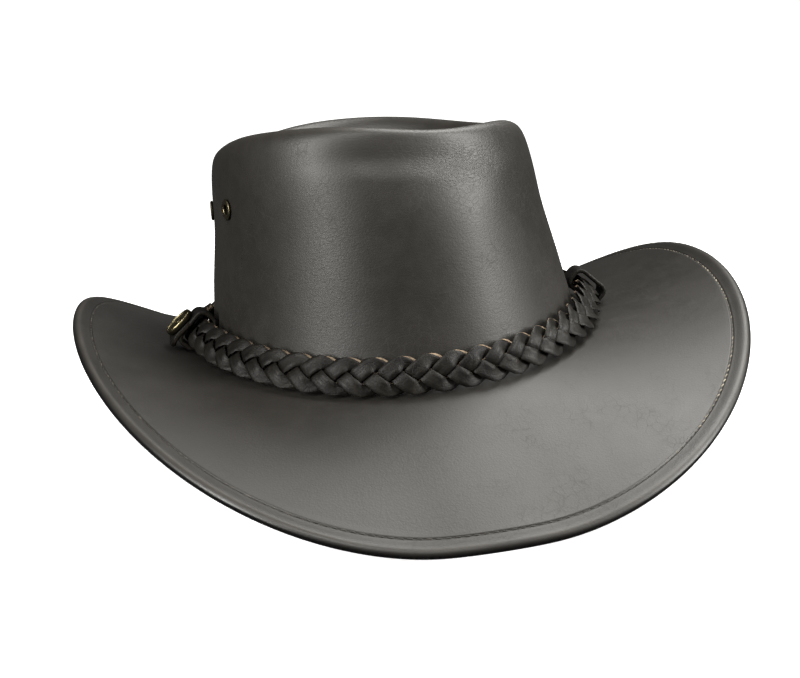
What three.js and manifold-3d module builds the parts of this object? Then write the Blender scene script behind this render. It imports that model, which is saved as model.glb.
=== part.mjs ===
// A wide-brimmed leather hat: a moulded hollow crown, a curled brim with a rolled edge,
// a three-strand braided band held by two leather keepers, a brass concho and four vent eyelets.
// Millimetres, +Z up, the front of the hat towards -Y. The brim rests on the plane z = 0.

import * as THREE from 'three';
import { mergeVertices } from 'three/addons/utils/BufferGeometryUtils.js';
import Module from 'manifold-3d';

const wasm = await Module();
wasm.setup();

// Brim
const brimLength = 355.5;
const brimWidth = 308;
const brimThickness = 3;
const brimCorner = 2.25; // power of the edge's outline: 2 is an ellipse, more is squarer
const edgeRollRadius = 2.5;
const leftLift = 71; // how far the left edge stands above the lowest edge
const rightLift = 66.2;
const liftPower = 1.08;
const backwardRise = 1.8; // the lifted sides climb a little towards the back
const frontDroop = 1.05; // power of the brim's fall in front: 1 is straight
const sideCurl = 1.46; // power of the brim's rise at the sides: more curls later
const restDip = 0.8; // height over which the edge has settled flat where it rests
const restPress = 0.5; // how much of the rolled edge is pressed flat there
const restSoften = 1.2; // height over which the settled edge goes over into the rise beside it

// Crown
const headLength = 202;
const headWidth = 178;
const headShiftLeft = 4.3; // the crown stands this far left of the brim's middle
const wallThickness = 2;
const footFront = 41.2; // height of the brim's top where the crown meets it
const footSide = 49;
const footBack = 31.6;
const crownFront = 111.3; // height of the crown's ridge above its foot
const crownBack = 116.4;
const crownLeft = 91.3;
const crownRight = 91.7;
const ridgeTiltLeft = 5.4; // the left ridge stands higher near the front, lower near the back
const ridgeTiltRight = 1.2;
const leanLeft = 6.1; // how far the top leans towards the left
const topHollow = 18; // depth of the top's hollow below the side ridges

// Dent in the front of the ridge
const dentDrop = 8.3;
const dentPush = 5;
const dentAngle = 12.5; // degrees from the front towards the right
const dentSpread = 33.5;

// Braided band
const strapWidth = 7;
const strapThickness = 2;
const strapSwing = 4.5; // how far a strap's middle swings to each side
const plaitWeave = 0.55; // a strap's rise over its neighbour, as a share of its thickness
const plaitTilt = 0.25; // slope of a strap's face across the band
const plaitStack = 2.6; // the plait's thickness, in straps, where it lies on the brim
const plaitPeak = 3.1; // and where it is thickest
const plaitPeriods = 19; // turns of each strap round the hat
const bandFootOut = 4.7; // the band's lower edge stands this far out from the crown, in front
const bandLeftOut = 9.6; // and this much farther at the left side
const bandRightOut = 6.4; // and at the right side
const bandLean = 13; // degrees, the band's lean in front
const bandSideLean = 34; // and how much more at the sides
const bandSideRise = 0.7; // power of that change: below 1 it comes soon after the front

// Keepers, concho and eyelets
const keeperWidth = 14;
const keeperThickness = 2;
const keeperPush = 1.2; // room that a keeper's back takes behind the band
const keeperLift = 1.9; // and under it
const keeperSqueeze = 0.15; // share of the band's width that a keeper takes off it
const keeperSpread = 11; // degrees over which the band swells out to a keeper
const leftKeeperAngle = 279; // degrees from the front, counted towards the right
const rightKeeperAngle = 82;
const flapLength = 9.9; // from the concho's middle to the tip
const flapWidth = 15;
const flapTilt = 5; // degrees that it leans away from the keeper
const flapBend = 52; // degrees by which it bends down from the concho to its tip
const flapBendStart = 3.5; // how far below the concho's middle it starts to bend
const flapDrop = 2.8; // how far the concho's middle lies below the band's middle
const flapSeat = 0.4; // how far out in the keeper's leather the flap's back lies, as a share
const flapTop = 0.6; // its upper end above the concho's middle, as a share of the concho's radius
const conchoRadius = 7.4;
const conchoHeight = 2.6;
const eyeletRadius = 4.7;
const eyeletBore = 2.2;
const eyeletWall = 0.7;
const eyeletHeight = 0.9;
const ventSpacing = 38;
const ventForwardLeft = 17.5; // a pair's middle lies this far in front of the crown's middle
const ventForwardRight = -12;
const ventUp = 0.696; // height of the vents, as a share of the crown's height

const plaitHalfWidth = strapSwing + strapWidth / 2;
const gap = 0.3; // clearance between pieces that touch
const looseGap = 3 * gap; // clearance of the plait from the brim and inside a keeper
const around = 64; // facets round the hat
const plaitSteps = 10; // facets of the plait in each period
const boreSides = 12;
const eyeletSides = 14;
const conchoSides = 24;
const cornerSteps = 4; // facets of a rounded corner
const bandSteps = 720; // steps in which the band's length is measured
const slopeStep = 0.02; // small step of an angle or a share, to find a slope
const weld = 1e-5; // points closer than this are one

// The crown from its foot over the ridge into the hollow of the top. up is a share of the crown's
// height, sink a share of the way from the ridge down to the hollow's floor, across and along are
// shares of the foot's half width and half length, dent is a share of the front dent's push, and
// the crown's inside follows the rows marked inner.
const crownSections = [
  { up: 0, sink: 0, across: 1, along: 1, dent: 0, inner: true },
  { up: 0.1, sink: 0, across: 0.974, along: 0.984, dent: 0 },
  { up: 0.33, sink: 0, across: 0.93, along: 0.952, dent: 0, inner: true },
  { up: 0.62, sink: 0, across: 0.87, along: 0.926, dent: 0, inner: true },
  { up: 0.8, sink: 0, across: 0.85, along: 0.912, dent: 0.3, inner: true },
  { up: 0.89, sink: 0, across: 0.835, along: 0.903, dent: 1, inner: true },
  { up: 0.95, sink: 0, across: 0.816, along: 0.89, dent: 0.85 },
  { up: 0.985, sink: 0, across: 0.788, along: 0.865, dent: 0.45, inner: true },
  { up: 1, sink: 0, across: 0.75, along: 0.826, dent: 0.15, inner: true },
  { up: 1, sink: 0.1, across: 0.711, along: 0.785, dent: 0, inner: true },
  { up: 1, sink: 0.5, across: 0.663, along: 0.732, dent: 0 },
  { up: 1, sink: 0.87, across: 0.593, along: 0.655, dent: 0, inner: true },
  { up: 1, sink: 1, across: 0.478, along: 0.52, dent: 0, inner: true },
  { up: 1, sink: 1.02, across: 0.248, along: 0.26, dent: 0 },
];
const brimRows = [0.1, 0.27, 0.47, 0.68, 0.88]; // shares of the brim's width
const rollPoints = 10;
const plaitFront = [0, 0.2, 0.4, 0.6, 0.8, 1]; // places across the plait's front
const plaitBack = [1, 0.5, 0];

// Half sections of an eyelet's flanges, from the bore (0) to the rim (1), and of the concho, from
// its middle to its rim. up is a share of the height.
const outerFlange = [{ out: 1, up: 0 }, { out: 0.86, up: 0.6 }, { out: 0.5, up: 1 }, { out: 0, up: 0.4 }];
const innerFlange = [{ out: 0, up: 1 }, { out: 1, up: 0.6 }, { out: 1, up: 0 }];
const conchoSection = [
  { out: 0, up: 0 },
  { out: 0.95, up: 0 },
  { out: 1, up: 0.25 },
  { out: 0.975, up: 0.6 },
  { out: 0.915, up: 0.7 },
  { out: 0.855, up: 0.42 },
  { out: 0.64, up: 0.72 },
  { out: 0.34, up: 0.95 },
  { out: 0, up: 1 },
];

// The tongue's outline: along runs from its upper end (0) to its tip (1), wide is a share of its
// half width.
const flapSections = [
  { along: 0, wide: 0.94 },
  { along: 0.05, wide: 1 },
  { along: 0.42, wide: 1 },
  { along: 0.58, wide: 1 },
  { along: 0.72, wide: 0.95 },
  { along: 0.84, wide: 0.8 },
  { along: 0.93, wide: 0.56 },
  { along: 1, wide: 0.18 },
];

const radians = THREE.MathUtils.degToRad;
const turn = 2 * Math.PI;
const vec = (x, y, z) => new THREE.Vector3(x, y, z);
const mix = THREE.MathUtils.lerp;

// Angles run from the front (-Y) towards the right (+X).
const sideShare = (u) => Math.sin(u) ** 2;
const frontBack = (u, front, back) => (Math.cos(u) > 0 ? front : back);

function footHeight(u) {
  const side = sideShare(u);
  return frontBack(u, footFront, footBack) * (1 - side) + footSide * side;
}

function ridgeHeight(u) {
  const side = sideShare(u);
  const ends = frontBack(u, footFront + crownFront, footBack + crownBack);
  const sides = footSide + (Math.sin(u) < 0 ? crownLeft : crownRight);
  const tilt = 2 * (Math.sin(u) < 0 ? ridgeTiltLeft : ridgeTiltRight) * side ** 2 * Math.cos(u);
  return ends * (1 - side) + sides * side + tilt - dentDrop * dentShare(u);
}

// A bell curve round the dent's angle, 1 at its middle.
function dentShare(u) {
  const away = THREE.MathUtils.euclideanModulo(u - radians(dentAngle) + Math.PI, turn) - Math.PI;
  return Math.exp(-((away / radians(dentSpread)) ** 2));
}

// A point of the crown's outside at a section's shares.
function crownPoint(u, section) {
  const ridge = ridgeHeight(u);
  const wall = mix(footHeight(u) + gap, ridge, section.up);
  const floor = footSide + Math.min(crownLeft, crownRight) - topHollow;
  const push = dentPush * section.dent * dentShare(u);
  return vec(
    -headShiftLeft - leanLeft * section.up + (headWidth / 2) * section.across * Math.sin(u),
    -(headLength / 2) * section.along * Math.cos(u) + push * Math.cos(u),
    mix(wall, floor, section.sink),
  );
}

// Shares at any height of the wall, between the table's rows.
function wallSection(up) {
  const row = crownSections.findIndex((section) => section.up >= up);
  const [low, high] = [crownSections[row - 1], crownSections[row]];
  const share = (up - low.up) / (high.up - low.up);
  const between = (name) => mix(low[name], high[name], share);
  return { up, sink: 0, across: between('across'), along: between('along'), dent: between('dent') };
}

// The middle of the rolled edge.
function edgePoint(u) {
  const [s, c] = [Math.sin(u), Math.cos(u)];
  const reach = (Math.abs(s) ** brimCorner + Math.abs(c) ** brimCorner) ** (-1 / brimCorner);
  const side = sideShare(u);
  const rise = (s < 0 ? leftLift : rightLift) + restDip;
  const lift = rise * side ** liftPower - 2 * backwardRise * side * c;
  const above = lift - restDip;
  return vec(
    (brimWidth / 2 - edgeRollRadius) * s * reach,
    -(brimLength / 2 - edgeRollRadius) * c * reach,
    edgeRollRadius - restPress + (above + Math.hypot(above, restSoften)) / 2,
  );
}

function footPoint(u, inward = 0) {
  const [halfWidth, halfLength] = [headWidth / 2 - inward, headLength / 2 - inward];
  return vec(-headShiftLeft + halfWidth * Math.sin(u), -halfLength * Math.cos(u), footHeight(u));
}

// The middle of the brim's leather, t from 0 at the crown to 1 at the rolled edge.
function brimMiddle(u, t) {
  const foot = footPoint(u);
  const edge = edgePoint(u);
  const point = foot.clone().lerp(edge, t);
  const curl = mix(frontDroop, sideCurl, sideShare(u));
  point.z = mix(foot.z - brimThickness / 2, edge.z, t ** curl);
  return point;
}

// Outward and upward directions of the brim in its own section.
function brimDirections(u, t) {
  const inner = Math.max(t - slopeStep, 0);
  const out = brimMiddle(u, t + slopeStep).sub(brimMiddle(u, inner)).normalize();
  const round = brimMiddle(u + slopeStep, t).sub(brimMiddle(u - slopeStep, t)).normalize();
  const up = vec(0, 0, 0).crossVectors(out, round).normalize();
  return { out, up: up.z < 0 ? up.negate() : up };
}

function brimTop(u, t, lift = 0) {
  return brimMiddle(u, t).addScaledVector(brimDirections(u, t).up, brimThickness / 2 + lift);
}

// Rings of points joined into one closed mesh. Each ring is an array, or one point for a pole;
// the last ring joins the first unless both ends are poles.
function ringsGeometry(rings) {
  const positions = [];
  const starts = rings.map((ring) => {
    const start = positions.length / 3;
    ring.forEach((point) => positions.push(point.x, point.y, point.z));
    return start;
  });
  const index = [];
  const closed = rings[0].length > 1;
  for (let row = 0; row < rings.length - (closed ? 0 : 1); row += 1) {
    const next = (row + 1) % rings.length;
    const count = Math.max(rings[row].length, rings[next].length);
    const at = (ring, place) => starts[ring] + (rings[ring].length > 1 ? place % count : 0);
    for (let place = 0; place < count; place += 1) {
      if (rings[row].length > 1) index.push(at(row, place), at(row, place + 1), at(next, place));
      if (rings[next].length > 1) index.push(at(row, place + 1), at(next, place + 1), at(next, place));
    }
  }
  const geometry = new THREE.BufferGeometry();
  geometry.setAttribute('position', new THREE.Float32BufferAttribute(positions, 3));
  geometry.setIndex(index);
  return facingOut(geometry);
}

// Turns a closed mesh over when its faces point inwards.
function facingOut(geometry) {
  const position = geometry.getAttribute('position');
  const index = geometry.getIndex().array;
  const corner = [vec(0, 0, 0), vec(0, 0, 0), vec(0, 0, 0)];
  let volume = 0;
  for (let i = 0; i < index.length; i += 3) {
    corner.forEach((point, k) => point.fromBufferAttribute(position, index[i + k]));
    volume += corner[0].dot(corner[1].cross(corner[2]));
  }
  if (volume < 0) index.reverse();
  return geometry;
}

function toSolid(geometry) {
  const bare = geometry.clone();
  bare.deleteAttribute('normal');
  bare.deleteAttribute('uv');
  const merged = mergeVertices(bare, weld);
  return new wasm.Manifold(new wasm.Mesh({
    numProp: 3,
    vertProperties: new Float32Array(merged.getAttribute('position').array),
    triVerts: new Uint32Array(merged.getIndex().array),
  }));
}

function toGeometry(solid) {
  const mesh = solid.getMesh();
  const geometry = new THREE.BufferGeometry();
  geometry.setAttribute('position', new THREE.BufferAttribute(mesh.vertProperties, 3));
  geometry.setIndex(new THREE.BufferAttribute(mesh.triVerts, 1));
  return geometry;
}

const ringAngles = Array.from({ length: around }, (_, place) => (turn * place) / around);

// Crown

// Outward normal of the crown at a row of the table.
function crownNormal(u, row) {
  const below = crownPoint(u, crownSections[Math.max(row - 1, 0)]);
  const above = crownPoint(u, crownSections[Math.min(row + 1, crownSections.length - 1)]);
  const back = crownPoint(u - slopeStep, crownSections[row]);
  const ahead = crownPoint(u + slopeStep, crownSections[row]);
  const normal = vec(0, 0, 0).crossVectors(ahead.sub(back), above.sub(below));
  if (row === 0) normal.z = 0;
  return normal.normalize();
}

function crownShell() {
  const rows = crownSections.map((_, row) => row);
  const ring = (row, depth) => ringAngles.map((u) => (
    crownPoint(u, crownSections[row]).addScaledVector(crownNormal(u, row), -depth)
  ));
  const floor = crownPoint(0, { ...crownSections.at(-1), across: 0, along: 0 });
  const outside = rows.map((row) => ring(row, 0)).reverse();
  const inside = rows.filter((row) => crownSections[row].inner).map((row) => ring(row, wallThickness));
  return ringsGeometry([[floor], ...outside, ...inside, [floor.clone().setZ(floor.z - wallThickness)]]);
}

// Where a vent sits: side is -1 for left and 1 for right, forward is its distance in front of the
// crown's middle.
function ventPlace(side, forward) {
  const section = wallSection(ventUp);
  const u = side * Math.acos(forward / ((headLength / 2) * section.along));
  const upper = crownPoint(u, wallSection(ventUp + slopeStep));
  const rise = upper.sub(crownPoint(u, wallSection(ventUp - slopeStep)));
  const round = crownPoint(u + slopeStep, section).sub(crownPoint(u - slopeStep, section));
  return { point: crownPoint(u, section), normal: vec(0, 0, 0).crossVectors(round, rise).normalize() };
}

const vents = [
  { name: 'eyelet_left_front', ...ventPlace(-1, ventForwardLeft + ventSpacing / 2) },
  { name: 'eyelet_left_back', ...ventPlace(-1, ventForwardLeft - ventSpacing / 2) },
  { name: 'eyelet_right_front', ...ventPlace(1, ventForwardRight + ventSpacing / 2) },
  { name: 'eyelet_right_back', ...ventPlace(1, ventForwardRight - ventSpacing / 2) },
];
const barrelRadius = eyeletBore + eyeletWall;

// Turns the +Y axis of a lathe or cylinder onto a direction.
const turnTo = (direction) => new THREE.Quaternion().setFromUnitVectors(vec(0, 1, 0), direction);

function ventHole(vent) {
  const reach = 4 * wallThickness;
  const hole = new THREE.CylinderGeometry(barrelRadius + gap, barrelRadius + gap, reach, boreSides);
  return toSolid(hole.applyQuaternion(turnTo(vent.normal)).translate(...vent.point));
}

function crown() {
  let solid = toSolid(crownShell());
  vents.forEach((vent) => {
    solid = solid.subtract(ventHole(vent));
  });
  return toGeometry(solid);
}

// Eyelet: a domed flange outside, a barrel through the wall and a flat flange inside. The flanges
// stand clear of the wall, which falls away by its curve under a flange and by a facet's depth.
function eyelet() {
  const facet = (headLength / 2) * (1 - Math.cos(Math.PI / around));
  const curve = eyeletRadius ** 2 / headWidth + facet;
  const outside = gap + curve;
  const inside = -wallThickness - gap - curve;
  const flange = (rows, base, direction) => rows.map(({ out, up }) => (
    new THREE.Vector2(mix(eyeletBore, eyeletRadius, out), base + direction * eyeletHeight * up)
  ));
  const profile = [
    ...flange(innerFlange, inside, -1),
    new THREE.Vector2(barrelRadius, inside),
    new THREE.Vector2(barrelRadius, outside),
    ...flange(outerFlange, outside, 1),
  ];
  return new THREE.LatheGeometry([...profile, profile[0]], eyeletSides);
}

// Brim
function brimSection(u) {
  const half = brimThickness / 2;
  const inner = footPoint(u, wallThickness);
  const foot = footPoint(u);
  const below = (point) => point.clone().setZ(point.z - brimThickness);
  const side = (sign) => (t) => brimMiddle(u, t).addScaledVector(brimDirections(u, t).up, sign * half);
  const { out, up } = brimDirections(u, 1);
  const edge = edgePoint(u);
  const open = Math.PI - Math.asin(half / edgeRollRadius);
  const roll = Array.from({ length: rollPoints }, (_, place) => {
    const angle = mix(open, -open, place / (rollPoints - 1));
    return edge.clone()
      .addScaledVector(out, edgeRollRadius * Math.cos(angle))
      .addScaledVector(up, edgeRollRadius * Math.sin(angle));
  });
  const section = [
    inner, foot, ...brimRows.map(side(1)), ...roll,
    ...brimRows.map(side(-1)).reverse(), below(foot), below(inner),
  ];
  section.forEach((point) => point.setZ(Math.max(point.z, 0)));
  return section;
}

// Band

// Middle of the band, direction up across it, outward direction and how much of its width it keeps,
// at an angle round the hat.
function bandSection(u) {
  const side = sideShare(u) ** bandSideRise;
  const narrow = 1 - keeperSqueeze * keeperShare(u);
  const lean = radians(bandLean + bandSideLean * side);
  const out = vec(Math.sin(u) / headWidth, -Math.cos(u) / headLength, 0).normalize();
  const push = keeperPush * keeperShare(u);
  const raise = looseGap + keeperLift * keeperShare(u);
  const reach = bandFootOut + (Math.sin(u) < 0 ? bandLeftOut : bandRightOut) * side + push;
  const width = brimMiddle(u, 1).sub(footPoint(u)).length();
  const lift = (strapThickness * plaitStack * Math.sin(lean)) / 2 + raise;
  const low = brimTop(u, reach / width, lift);
  const across = out.clone().multiplyScalar(-Math.sin(lean)).add(vec(0, 0, Math.cos(lean)));
  const middle = low.addScaledVector(across, plaitHalfWidth * narrow);
  const face = out.multiplyScalar(Math.cos(lean)).add(vec(0, 0, Math.sin(lean)));
  return { middle, across, face, narrow };
}

// A bell curve round each keeper, where the band stands off the crown.
function keeperShare(u) {
  const near = (degrees) => {
    const away = THREE.MathUtils.euclideanModulo(u - radians(degrees) + Math.PI, turn) - Math.PI;
    return Math.exp(-((away / radians(keeperSpread)) ** 2));
  };
  return near(leftKeeperAngle) + near(rightKeeperAngle);
}

// Length along the band's middle up to each of many small steps.
function bandLengths() {
  const lengths = [0];
  let last = bandSection(0).middle;
  for (let step = 1; step <= bandSteps; step += 1) {
    const next = bandSection((turn * step) / bandSteps).middle;
    lengths.push(lengths.at(-1) + next.distanceTo(last));
    last = next;
  }
  return lengths;
}

const lengths = bandLengths();

// The angle at which a share of the band's length has been passed.
function bandAngle(share) {
  const wanted = THREE.MathUtils.euclideanModulo(share, 1) * lengths.at(-1);
  const step = Math.max(lengths.findIndex((length) => length > wanted), 1);
  const part = (wanted - lengths[step - 1]) / (lengths[step] - lengths[step - 1]);
  return (turn * (step - 1 + part)) / bandSteps;
}

// The three straps where they pass one section of the band. Each swings to both sides once a period
// and passes over, then under, its neighbours, leaning so that its rising edge lies on top.
function strapsAt(share) {
  const pace = (turn * plaitPeriods) / lengths.at(-1);
  return [0, 1, 2].map((strand) => {
    const phase = turn * (plaitPeriods * share + strand / 3);
    return {
      middle: strapSwing * Math.sin(phase),
      out: strapThickness * plaitWeave * Math.sin(2 * phase),
      slope: plaitTilt * Math.cos(phase),
      half: (strapWidth / 2) * Math.hypot(1, strapSwing * pace * Math.cos(phase)),
    };
  });
}

// One section of the plait: the highest strap all across its front, the lowest across its back.
function plaitSection(share) {
  const straps = strapsAt(share);
  const low = Math.min(...straps.map((strap) => strap.middle - strap.half));
  const high = Math.max(...straps.map((strap) => strap.middle + strap.half));
  const { middle, across, face, narrow } = bandSection(bandAngle(share));
  const point = (part, front) => {
    const x = mix(low, high, part);
    const here = straps.filter((strap) => Math.abs(x - strap.middle) <= strap.half + weld);
    const heights = here.map((strap) => strap.out + strap.slope * (x - strap.middle));
    const out = front ? Math.max(...heights) : Math.min(...heights);
    return middle.clone().addScaledVector(across, x * narrow)
      .addScaledVector(face, out + ((front ? 1 : -1) * strapThickness) / 2);
  };
  const front = plaitFront.map((part) => point(part, true));
  const back = plaitBack.map((part) => point(part, false));
  return [...front, ...back];
}

function braidedBand() {
  const count = plaitPeriods * plaitSteps;
  return ringsGeometry(Array.from({ length: count }, (_, step) => plaitSection(step / count)));
}

// Keepers

// The frame of a keeper: X along the band, Y across it and Z outwards.
function keeperFrame(degrees) {
  const { middle, across, face } = bandSection(radians(degrees));
  const along = vec(0, 0, 0).crossVectors(across, face);
  return new THREE.Matrix4().makeBasis(along, across, face).setPosition(middle);
}

function roundedRectangle(path, halfWidth, halfHeight, radius) {
  path.moveTo(-halfWidth + radius, -halfHeight);
  path.absarc(halfWidth - radius, -halfHeight + radius, radius, -Math.PI / 2, 0);
  path.absarc(halfWidth - radius, halfHeight - radius, radius, 0, Math.PI / 2);
  path.absarc(-halfWidth + radius, halfHeight - radius, radius, Math.PI / 2, Math.PI);
  path.absarc(-halfWidth + radius, -halfHeight + radius, radius, Math.PI, 1.5 * Math.PI);
  return path;
}

const keeperInside = {
  across: plaitHalfWidth * (1 - keeperSqueeze) + looseGap,
  out: (strapThickness * plaitPeak) / 2 + 2 * gap,
  corner: strapThickness,
};

// A closed leather loop round the band.
function keeperLoop() {
  const { across, out, corner } = keeperInside;
  const outline = roundedRectangle(
    new THREE.Shape(), out + keeperThickness, across + keeperThickness, corner + keeperThickness,
  );
  outline.holes.push(roundedRectangle(new THREE.Path(), out, across, corner));
  const loop = new THREE.ExtrudeGeometry(outline, {
    depth: keeperWidth, bevelEnabled: false, curveSegments: cornerSteps,
  });
  return loop.translate(0, 0, -keeperWidth / 2).rotateY(Math.PI / 2);
}

// A point of the tongue's middle line, some way below the concho's middle, and its outward normal.
function flapLine(down) {
  const radius = (flapLength - flapBendStart) / radians(flapBend);
  const angle = Math.max(down - flapBendStart, 0) / radius;
  const straight = Math.min(down, flapBendStart);
  const point = vec(0, -straight - radius * Math.sin(angle), -radius * (1 - Math.cos(angle)));
  return { point, normal: vec(0, -Math.sin(angle), Math.cos(angle)) };
}

// The tongue of leather under the concho, from the loop's upper part down to the brim.
function keeperFlap() {
  const rings = flapSections.map(({ along, wide }) => {
    const { point, normal } = flapLine(mix(-conchoRadius * flapTop, flapLength, along));
    const side = (x, height) => point.clone().addScaledVector(normal, height).setX(x);
    const half = (flapWidth / 2) * wide;
    return [side(-half, 0), side(half, 0), side(half, keeperThickness), side(-half, keeperThickness)];
  });
  const middle = (ring) => ring[0].clone().add(ring[2]).multiplyScalar(1 / 2);
  return ringsGeometry([[middle(rings[0])], ...rings, [middle(rings.at(-1))]]).applyMatrix4(flapFrame());
}

// Where the flap lies in a keeper's frame: on the loop's outer face, tilted out at its tip.
function flapFrame() {
  const seat = keeperInside.out + keeperThickness * flapSeat;
  return new THREE.Matrix4().makeRotationX(-radians(flapTilt)).setPosition(0, -flapDrop, seat);
}

function keeperWithFlap() {
  return toGeometry(toSolid(keeperLoop()).add(toSolid(keeperFlap())));
}

// Concho: a low dome inside a raised rim, flat behind.
function concho() {
  const profile = conchoSection.map(({ out, up }) => (
    new THREE.Vector2(conchoRadius * out, conchoHeight * up)
  ));
  return new THREE.LatheGeometry(profile, conchoSides);
}

// Materials
const hatLeather = new THREE.MeshStandardMaterial({ color: 0x2b2826, roughness: 0.5, metalness: 0 });
const braidLeather = new THREE.MeshStandardMaterial({ color: 0x33291f, roughness: 0.55, metalness: 0 });
const brass = new THREE.MeshStandardMaterial({ color: 0x8a7440, roughness: 0.35, metalness: 1 });

const hat = new THREE.Group();

function addPiece(name, geometry, material) {
  const mesh = new THREE.Mesh(geometry, material);
  mesh.name = name;
  hat.add(mesh);
  return mesh;
}

addPiece('crown', crown(), hatLeather);
addPiece('brim', ringsGeometry(ringAngles.map(brimSection)), hatLeather);
addPiece('braided_band', braidedBand(), braidLeather);

const leftFrame = keeperFrame(leftKeeperAngle);
addPiece('band_keeper_left', keeperWithFlap(), braidLeather).applyMatrix4(leftFrame);
addPiece('band_keeper_right', keeperLoop(), braidLeather).applyMatrix4(keeperFrame(rightKeeperAngle));

const conchoFrame = leftFrame.clone().multiply(flapFrame())
  .multiply(new THREE.Matrix4().makeTranslation(0, 0, keeperThickness + gap))
  .multiply(new THREE.Matrix4().makeRotationX(Math.PI / 2));
addPiece('concho', concho(), brass).applyMatrix4(conchoFrame);

vents.forEach((vent) => {
  const piece = addPiece(vent.name, eyelet(), brass);
  piece.position.copy(vent.point);
  piece.quaternion.copy(turnTo(vent.normal));
});

export default hat;
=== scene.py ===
# %% [markdown]
# A leather hat with a plaited band
#
# The real hat is cut and moulded from thick, dark brown leather. Its crown is pressed over a block,
# its brim is stretched into a curl and finished with a rolled, stitched edge, and a band plaited
# from three straps lies round the foot of the crown. The CAD frame holds the true sizes. Here every
# visible surface is worked out again, finely, on grids of points, and then given its finish.

# %% Load the frame
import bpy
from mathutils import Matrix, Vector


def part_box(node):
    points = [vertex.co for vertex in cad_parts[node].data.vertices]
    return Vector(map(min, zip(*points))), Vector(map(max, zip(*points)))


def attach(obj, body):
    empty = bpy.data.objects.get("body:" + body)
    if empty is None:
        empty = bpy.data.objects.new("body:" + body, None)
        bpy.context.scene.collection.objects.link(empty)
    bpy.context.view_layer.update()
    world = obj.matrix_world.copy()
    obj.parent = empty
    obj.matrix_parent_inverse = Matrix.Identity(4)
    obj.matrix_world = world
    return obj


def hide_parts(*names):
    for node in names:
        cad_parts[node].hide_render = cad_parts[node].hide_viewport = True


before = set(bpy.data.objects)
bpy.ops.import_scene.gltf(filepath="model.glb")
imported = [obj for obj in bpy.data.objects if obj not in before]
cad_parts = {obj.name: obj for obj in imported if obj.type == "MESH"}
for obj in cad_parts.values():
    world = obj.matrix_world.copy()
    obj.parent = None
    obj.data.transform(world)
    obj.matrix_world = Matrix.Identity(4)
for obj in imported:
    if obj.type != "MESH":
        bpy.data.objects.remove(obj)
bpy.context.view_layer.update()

import math

import bpy
import numpy as np
from mathutils import Matrix, Vector

MM = 0.001
TURN = 2 * np.pi

# %% [markdown]
# Grids of points
#
# Leather has no flat panels, so most pieces here are one function of two parameters: one runs
# round the hat, the other across the piece. Working out the whole grid at once with numpy is fast
# and keeps the formula in sight. A box or a sculpted blob could be subdivided instead, but then
# the sizes would be hard to keep.


# %% Meshes from arrays
def grid_faces(rows, columns, wrap_rows=False):
    """Quads between neighbouring points of a grid. Columns close on themselves, and rows may."""
    count = rows if wrap_rows else rows - 1
    row, column = np.meshgrid(np.arange(count), np.arange(columns), indexing="ij")
    ahead = (column + 1) % columns
    here, below = row * columns, (row + 1) % rows * columns
    corners = [here + column, here + ahead, below + ahead, below + column]
    return np.stack(corners, axis=-1).reshape(-1, 4)


def pole_faces(ring, pole, turned=False):
    """Triangles from a ring of point numbers to one point, so that the surface closes there."""
    ahead = np.roll(ring, -1)
    first, second = (ahead, ring) if turned else (ring, ahead)
    return np.stack([first, second, np.full(len(ring), pole)], axis=-1)


def copies_of(faces, points_each, copies):
    """The same faces for many copies of a shape whose points follow one another."""
    return (faces[None] + points_each * np.arange(copies)[:, None, None]).reshape(-1, faces.shape[1])


def volume_of(points, faces):
    """Six times the enclosed volume: the sum of a . (b x c) over a fan of triangles in each face."""
    total = 0.0
    for second in range(1, faces.shape[1] - 1):
        a, b, c = points[faces[:, 0]], points[faces[:, second]], points[faces[:, second + 1]]
        total += np.einsum("ij,ij->", a, np.cross(b, c))
    return total


def new_mesh(name, points, quads, triangles=None, masks=None):
    """A smooth mesh from arrays. masks holds {name: one number for each point}, kept as attributes."""
    points = points.reshape(-1, 3)
    triangles = np.zeros((0, 3), int) if triangles is None else triangles
    if volume_of(points, quads) + volume_of(points, triangles) < 0:
        quads, triangles = quads[:, ::-1], triangles[:, ::-1]
    corners = np.concatenate([quads.ravel(), triangles.ravel()]).astype(np.int32)
    sizes = np.concatenate([np.full(len(quads), 4), np.full(len(triangles), 3)])
    mesh = bpy.data.meshes.new(name)
    mesh.vertices.add(len(points))
    mesh.vertices.foreach_set("co", points.astype(np.float32).ravel())
    mesh.loops.add(len(corners))
    mesh.loops.foreach_set("vertex_index", corners)
    mesh.polygons.add(len(sizes))
    mesh.polygons.foreach_set("loop_start", (np.cumsum(sizes) - sizes).astype(np.int32))
    mesh.update(calc_edges=True)
    mesh.polygons.foreach_set("use_smooth", np.ones(len(sizes), bool))
    for mask, values in (masks or {}).items():
        layer = mesh.attributes.new(mask, "FLOAT", "POINT")
        layer.data.foreach_set("value", np.broadcast_to(values, len(points)).astype(np.float32).ravel())
    return mesh


def new_piece(name, mesh, materials, stands_for=()):
    """Shows a mesh as a piece of the hat that rides on its one body."""
    piece = bpy.data.objects.new(name, mesh)
    bpy.context.scene.collection.objects.link(piece)
    for material in materials:
        mesh.materials.append(material)
    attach(piece, "root")
    if stands_for:
        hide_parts(*stands_for)
    print(f"{name}: {len(mesh.vertices)} points, {len(mesh.polygons)} faces")
    return piece


# %% Small helpers for shapes
def mix(low, high, share):
    return low + (high - low) * share


def bell(u, degrees, spread):
    """exp(-(a / spread)^2), with a the shorter way round from u to the middle, in degrees."""
    away = (np.degrees(u) - degrees + 180) % 360 - 180
    return np.exp(-((away / spread) ** 2))


def unit(vectors):
    return vectors / np.maximum(np.linalg.norm(vectors, axis=-1, keepdims=True), 1e-12)


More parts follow.
